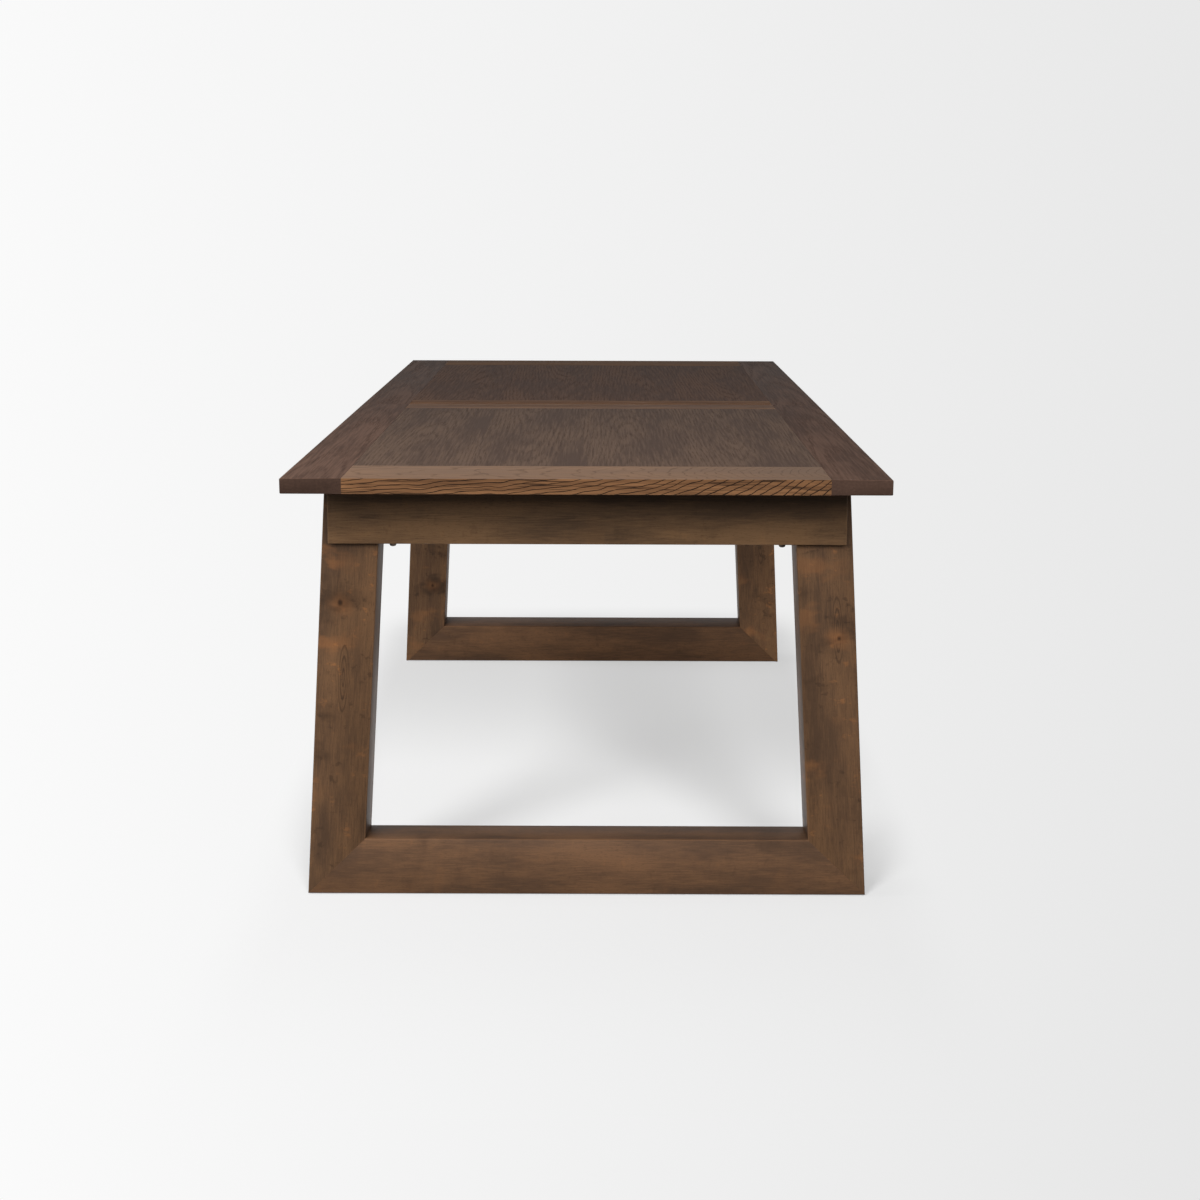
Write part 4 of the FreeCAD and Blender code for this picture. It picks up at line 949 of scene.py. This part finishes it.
# %% Side aprons
def make_side_apron(end, side):
    name, sign, side_sign = f"{end}_side_apron_{side}", ENDS[end], SIDES[side]
    low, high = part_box(name)
    board = start_board(name, low, high)
    leg_back = FOOT_FACE - FRAME_RISE * math.tan(LEAN) - LEG_DEPTH / math.cos(LEAN)
    outer = side_sign * max(abs(low.x), abs(high.x))
    with editing(board):
        saw((0, sign * leg_back, TOP_UNDER), lean_way(sign, (0, sign, 0)))
        ease(board, APRON_RADIUS,
             lambda at, way: abs(way.y) > ALIGNED and abs(at.x - outer) < CLOSE and at.z < low.z + CLOSE)
        ease(board, JOINT_BEVEL, lambda at, way: abs(way.z) > 0.9, 1)
    lay_timber(board, (0, 1, 0), (0, 0, 1), (low + high) / 2)
    finish_piece(board, end + "_half", maple_apron, "stained_maple", name)


for end in ENDS:
    make_foot_rail(end)
    make_head_rail(end)
    make_end_apron(end)
    for side in SIDES:
        make_leg(end, side)
        make_side_apron(end, side)

# %% [markdown]
# ## Turned fittings
# Studs, washers, domed nuts, glides and screw heads are turned or pressed round an axis. So each is
# drawn as half an outline, with one vertex that is extruded from point to point, and spun round its
# axis. A nut is spun first and then sawn along six planes, which leaves the curved chamfer that a
# real one has.

# %% Spin an outline, and spread copies of the result
def lathe(name, outline, steps=32):
    """Spin an outline of points, each a radius and a height, round the Z axis."""
    choose()
    bpy.ops.mesh.primitive_plane_add(size=0.001, location=(outline[0][0], 0, outline[0][1]))
    piece = bpy.context.active_object
    piece.name = piece.data.name = name
    bpy.ops.object.transform_apply()
    with editing(piece):
        bpy.ops.mesh.select_mode(type="VERT")
        pick_all()
        bpy.ops.mesh.merge(type="CENTER")
        for (radius, level), (next_radius, next_level) in zip(outline, outline[1:]):
            step = (next_radius - radius, 0, next_level - level)
            push(step)
        pick_all()
        bpy.ops.mesh.spin(steps=steps, angle=2 * math.pi, center=(0, 0, 0), axis=(0, 0, 1))
        pick_all()
        bpy.ops.mesh.remove_doubles(threshold=0.00001)
        bpy.ops.mesh.normals_make_consistent(inside=False)
    return piece


def gather(name, pieces):
    """Join pieces into one, with its origin back at the scene's."""
    choose(*pieces)
    if len(pieces) > 1:
        bpy.ops.object.join()
    bpy.ops.object.transform_apply()
    joined = bpy.context.active_object
    joined.name = joined.data.name = name
    return joined


def spread(name, piece, places):
    """A copy of a piece, with its own mesh, at every place."""
    copies = [piece]
    for place in places[1:]:
        choose(piece)
        bpy.ops.object.duplicate()
        bpy.context.active_object.location = place
        copies.append(bpy.context.active_object)
    piece.location = places[0]
    return gather(name, copies)


# %% Trestle bolts
STUD_RADIUS = 0.004
STUD_GRIP = 0.005
WASHER_RADIUS = 0.010
WASHER_BORE = STUD_RADIUS * 1.06
WASHER_THICKNESS = 0.002
WASHER_EDGE = 0.0004
NUT_FLAT = 0.0065
NUT_CORNER = NUT_FLAT / math.cos(math.pi / 6)
NUT_CHAMFER = (NUT_CORNER - NUT_FLAT) * 0.6
NUT_HEIGHT = 0.008
DOME_RADIUS = 0.0061
# The dome as shares of its radius and of its height, from its rim to its tip
DOME_OUTLINE = (1.0, 0.0), (1.0, 0.30), (0.94, 0.60), (0.76, 0.83), (0.42, 0.97), (0.0, 1.0)


def make_stud(bottom, top):
    return lathe("stud", [(0, top), (STUD_RADIUS, top), (STUD_RADIUS, bottom), (0, bottom)], 24)


def make_washer():
    outer, edge, low = WASHER_RADIUS, WASHER_EDGE, -WASHER_THICKNESS
    return lathe("washer", [(WASHER_BORE, 0), (outer - edge, 0), (outer, -edge), (outer, low + edge),
                            (outer - edge, low), (WASHER_BORE, low), (WASHER_BORE, 0)])


def make_nut(end_height):
    """A domed nut, seated at height zero, whose dome reaches down to end_height."""
    dome_height = end_height + NUT_HEIGHT
    dome = [(DOME_RADIUS * across, dome_height * down - NUT_HEIGHT) for across, down in DOME_OUTLINE]
    nut = lathe("nut", [(0, 0), (NUT_FLAT, 0), (NUT_CORNER, -NUT_CHAMFER),
                        (NUT_CORNER, NUT_CHAMFER - NUT_HEIGHT), (NUT_FLAT * 0.97, -NUT_HEIGHT)] + dome, 48)
    with editing(nut):
        for side in range(6):
            angle = side * math.pi / 3
            way = Vector((math.cos(angle), math.sin(angle), 0))
            saw(way * NUT_FLAT, way)
    return nut


def make_bolts(end):
    name = f"{end}_trestle_bolts"
    low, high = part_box(name)
    across, along = high.x - WASHER_RADIUS, (low.y + high.y) / 2
    nut_seat = HEAD_BOTTOM - WASHER_THICKNESS
    stacks = []
    for side_sign in SIDES.values():
        stud, washer = make_stud(nut_seat - STUD_GRIP, high.z), make_washer()
        nut = make_nut(low.z - nut_seat)
        washer.location.z, nut.location.z = HEAD_BOTTOM, nut_seat
        stack = gather("bolt_stack", [stud, washer, nut])
        stack.location = (side_sign * across, along, 0)
        stacks.append(stack)
    finish_piece(gather(name + "_turned", stacks), end + "_half", black_steel, "dark_steel", name)


# %% Glides
INNER_GLIDE = 0.150
# The pad as shares of its radius and of its height, from its top to its foot
PAD_OUTLINE = (0.0, 1.0), (1.0, 1.0), (1.0, 0.6), (0.95, 0.15), (0.85, 0.0), (0.0, 0.0)


def make_glides(end):
    name = f"{end}_glides"
    low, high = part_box(name)
    radius, along = (high.y - low.y) / 2, (low.y + high.y) / 2
    outer = high.x - radius
    pad = lathe("pad", [(radius * across, high.z * level) for across, level in PAD_OUTLINE])
    places = [(x, along, 0) for x in (-outer, -INNER_GLIDE, INNER_GLIDE, outer)]
    pads = spread(name + "_turned", pad, places)
    finish_piece(pads, end + "_half", nylon_white, "nylon", name)


for end in ENDS:
    make_bolts(end)
    make_glides(end)

# %% [markdown]
# ## Screws
# The runners are screwed up into the top, and the bearers into the middle runners. Only the heads
# show. A head is turned like the nut, with a countersunk back and a slightly crowned face, and a
# Boolean modifier takes the cross out of it. Then it is copied along the runners.

# %% Screws
SCREW_RADIUS = 0.0038
SCREW_HEIGHT = 0.0022
SCREW_CROWN = 0.0003
CROSS_LENGTH = 0.0042
CROSS_WIDTH = 0.0009
CROSS_DEPTH = 0.0012


def make_screw():
    """A screw head that looks down, with its rim at height zero."""
    head = lathe("screw", [(0, SCREW_HEIGHT), (SCREW_RADIUS * 0.45, SCREW_HEIGHT), (SCREW_RADIUS, 0),
                           (SCREW_RADIUS * 0.6, -SCREW_CROWN * 0.8), (0, -SCREW_CROWN)], 24)
    for length, width in ((CROSS_LENGTH, CROSS_WIDTH), (CROSS_WIDTH, CROSS_LENGTH)):
        half = Vector((length / 2, width / 2, 0))
        cut_away(head, start_board("cross", -half - UP * SCREW_HEIGHT, half + UP * CROSS_DEPTH))
    return head


def runner_places(name, shares):
    """Places along the underside of a runner, as shares of its fixed stretch."""
    low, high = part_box(name)
    start = low.y if abs(low.y) > abs(high.y) else high.y
    return [((low.x + high.x) / 2, start * share, low.z) for share in shares]


def bearer_places(end, side, shares):
    """Places on the underside of a bearer, below a middle runner, as shares of the bearer's width."""
    low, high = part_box(end + "_bearer")
    mid_low, mid_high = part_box(f"{side}_mid_runner")
    x = (mid_low.x + mid_high.x) / 2 * BEARER_SCREW_INSET
    return [(x, low.y + (high.y - low.y) * share, low.z) for share in shares]


RUNNER_SCREW_SHARES = (0.08, 0.36, 0.66, 0.94)
BEARER_SCREW_SHARES = (0.28, 0.72)
BEARER_SCREW_INSET = 0.985
for end in ENDS:
    places = [at for side in SIDES for at in runner_places(f"{side}_{end}_runner", RUNNER_SCREW_SHARES)]
    screws = spread(end + "_runner_screws", make_screw(), places)
    finish_piece(screws, end + "_half", black_steel, "dark_steel")
places = [at for end in ENDS for side in SIDES for at in bearer_places(end, side, BEARER_SCREW_SHARES)]
finish_piece(spread("bearer_screws", make_screw(), places), "carriage", black_steel, "dark_steel")

# %% [markdown]
# ## Carried-over CAD nodes
# The slides, gearing, leaf and small fittings keep their CAD shapes. Only their finish is set.

# %% Dress the carried-over nodes
def dress(node, finish):
    nodes[node].data.materials.clear()
    nodes[node].data.materials.append(finish)


DRESSED = (
    (beech_lengthwise, ("runner", "glue_blocks")),
    (beech_crosswise, ("bearer", "mitre_tenons", "head_tenons")),
    (nylon_white, ("rack", "pinion")),
    (oak_leaf_panel, ("leaf_lower_panel", "leaf_upper_panel")),
    (oak_leaf_stile, ("leaf_lower_stile", "leaf_upper_stile")),
    (satin_brass, ("leaf_hinges", "seam_pins")),
    (black_steel, ("pinion_axles", "latch", "latch_plates", "latch_keepers")),
)
for finish, endings in DRESSED:
    dressed = [node for node in nodes if node.endswith(endings)]
    for node in dressed:
        dress(node, finish)
    print(finish.name, "on", len(dressed), "nodes")

# %% [markdown]
# ## Floor and backdrop
# The picture's ground is plain white paper that curves up behind the table. A shallow dish stands for
# it, so that every side has a backdrop. The lamps that suit the timber would leave such paper grey or
# burn it out, so it glows by itself: a little less from left to right, as the picture does, and much
# less near the table, where its diffuse part takes light and soft shadows instead.

# %% The dish
DISH_FLAT = 8.0
DISH_CURVE = 7.0
DISH_STEPS = 12


def make_dish():
    choose()
    bpy.ops.mesh.primitive_circle_add(vertices=96, radius=DISH_FLAT - 1, fill_type="NGON")
    dish = bpy.context.active_object
    dish.name = "floor_dish"
    radius, height = DISH_FLAT - 1, 0.0
    with editing(dish):
        for step in range(DISH_STEPS + 1):
            angle = step / DISH_STEPS * math.pi / 2
            wider, higher = DISH_FLAT + DISH_CURVE * math.sin(angle), DISH_CURVE * (1 - math.cos(angle))
            pick_edges(dish, lambda at, way: abs(at.z - height) < 0.001 and at.xy.length > radius * 0.99)
            push((0, 0, higher - height))
            bpy.ops.transform.resize(value=(wider / radius, wider / radius, 1), center_override=(0, 0, 0))
            radius, height = wider, higher
    bpy.ops.object.shade_smooth()
    dish.visible_diffuse = False
    dish.visible_shadow = False
    return dish


# %% The paper
PAPER_LEVEL = 0.43
FAR_LEVEL = 0.88
PAPER_MATT = 0.2
# Where the matt patch ends, beside the table and beyond its two ends
MATT_SIDE = 0.49, 0.64
MATT_NEAR = -1.7, -1.05
MATT_FAR = 1.05, 1.5
# The glow falls to the right, by bearing as seen from a point this far before the table's middle
FALL_START = 4.0
PAPER_FALL = 0.236
PAPER_SIDE = 0.45


def paper():
    """White paper that glows, and takes soft shadows near the table."""
    finish = bpy.data.materials.new("white_paper")
    finish.use_nodes = True
    tree = finish.node_tree
    tree.nodes.clear()
    root = Socket(tree)
    x, y, z = split(root.node("TexCoord", {}, {}, "Object"))
    side = (x / (y + FALL_START).math("MAXIMUM", FALL_START / 2)).math("MINIMUM", PAPER_SIDE)
    side = side.math("MAXIMUM", -PAPER_SIDE)
    near_table = (1 - ramp(x.math("ABSOLUTE"), *MATT_SIDE)) * ramp(y, *MATT_NEAR) * (1 - ramp(y, *MATT_FAR))
    level = near_table * (PAPER_LEVEL - FAR_LEVEL) + FAR_LEVEL - side * PAPER_FALL
    glow = root.node("Emission", {}, {"Color": (1, 1, 1, 1), "Strength": level})
    matt_colour = tint(near_table, (0, 0, 0, 1), (PAPER_MATT,) * 3 + (1,))
    matt = root.node("BsdfDiffuse", {}, {"Color": matt_colour})
    both = root.node("AddShader", {}, {0: glow, 1: matt})
    output = tree.nodes.new("ShaderNodeOutputMaterial")
    tree.links.new(both.output, output.inputs["Surface"])
    return finish


dish = make_dish()
dish.data.materials.append(paper())
print("dish faces:", len(dish.data.polygons))

# %% [markdown]
# ## Light
# A softbox hangs over the near end, a wider one stands in front, behind the camera, and the rest of
# the studio is a dim room, darker below the horizon, as a floor that gets little light. A low, weak
# lamp under the table stands for what the paper throws back. None of these lights the paper itself:
# light linking gives it three soft suns of its own, so that each of its shadows can be set by its
# bearing, its height and how much glow it takes away, with no change to the light on the timber.

# %% The room
ROOM_ABOVE = 0.26
ROOM_LEVEL = 0.075
ROOM_BELOW = 0.06


def make_room():
    world = bpy.data.worlds.new("studio")
    world.use_nodes = True
    tree = world.node_tree
    root = Socket(tree)
    x, y, z = split(root.node("TexCoord", {}, {}, "Generated"))
    strength = (ramp(z, -0.1, 0.05) * (ROOM_LEVEL - ROOM_BELOW)
                + ramp(z, 0.05, 0.7) * (ROOM_ABOVE - ROOM_LEVEL) + ROOM_BELOW)
    background = tree.nodes["Background"]
    background.inputs["Color"].default_value = (1.0, 1.0, 1.0, 1.0)
    tree.links.new(strength.output, background.inputs["Strength"])
    bpy.context.scene.world = world


make_room()
print("room lit from", ROOM_BELOW, "to", ROOM_ABOVE)

# %% Softboxes and suns
# Each softbox's place, aim, width, height and power
SOFTBOXES = {
    "overhead_softbox": ((-0.9, -1.7, 2.8), (-0.1, -0.4, 0.6), 1.8, 1.8, 52),
    "front_softbox": ((-0.3, -5.0, 2.4), (0, 0, 0.5), 4.2, 1.7, 222),
    "paper_bounce": ((0, 0, 0.004), (0, 0, 1), 1.0, 1.4, 1.8),
}
# Each sun's bearing from the near end, its height, both in degrees, and its drop
FLOOR_SUNS = {"left": (-31, 35, 0.18), "right": (15, 29, 0.165), "side": (-90, 25, 0.04)}
SUN_WIDTH = math.radians(17)


def softbox(name, place, aim, width, height, power):
    bpy.ops.object.light_add(type="AREA", location=place)
    lamp = bpy.context.active_object
    lamp.name = name
    lamp.data.shape = "RECTANGLE"
    lamp.data.size = width
    lamp.data.size_y = height
    lamp.data.energy = power
    lamp.rotation_euler = (Vector(aim) - Vector(place)).to_track_quat("-Z", "Y").to_euler()
    return lamp


def link_light(lamp, thing, state):
    """Link a lamp to one thing: INCLUDE lights it alone, and EXCLUDE everything else."""
    group = bpy.data.collections.new(lamp.name + "_linked")
    group.objects.link(thing)
    lamp.light_linking.receiver_collection = group
    for linked in group.collection_objects:
        linked.light_linking.link_state = state


def floor_sun(name, bearing, height, drop):
    """A soft sun for the paper alone. drop is how much glow its full shadow takes away."""
    bearing, height = math.radians(bearing), math.radians(height)
    toward = Vector((math.sin(bearing) * math.cos(height), -math.cos(bearing) * math.cos(height),
                     math.sin(height)))
    bpy.ops.object.light_add(type="SUN", location=toward * 5)
    lamp = bpy.context.active_object
    lamp.name = name
    lamp.data.angle = SUN_WIDTH
    lamp.data.energy = drop * math.pi / (PAPER_MATT * math.sin(height))
    lamp.rotation_euler = toward.to_track_quat("Z", "Y").to_euler()
    link_light(lamp, dish, "INCLUDE")


for name, facts in SOFTBOXES.items():
    lamp = softbox(name, *facts)
    link_light(lamp, dish, "EXCLUDE")
    lamp.visible_camera = False
for name, facts in FLOOR_SUNS.items():
    floor_sun("floor_sun_" + name, *facts)
bpy.context.scene.view_settings.view_transform = "Standard"
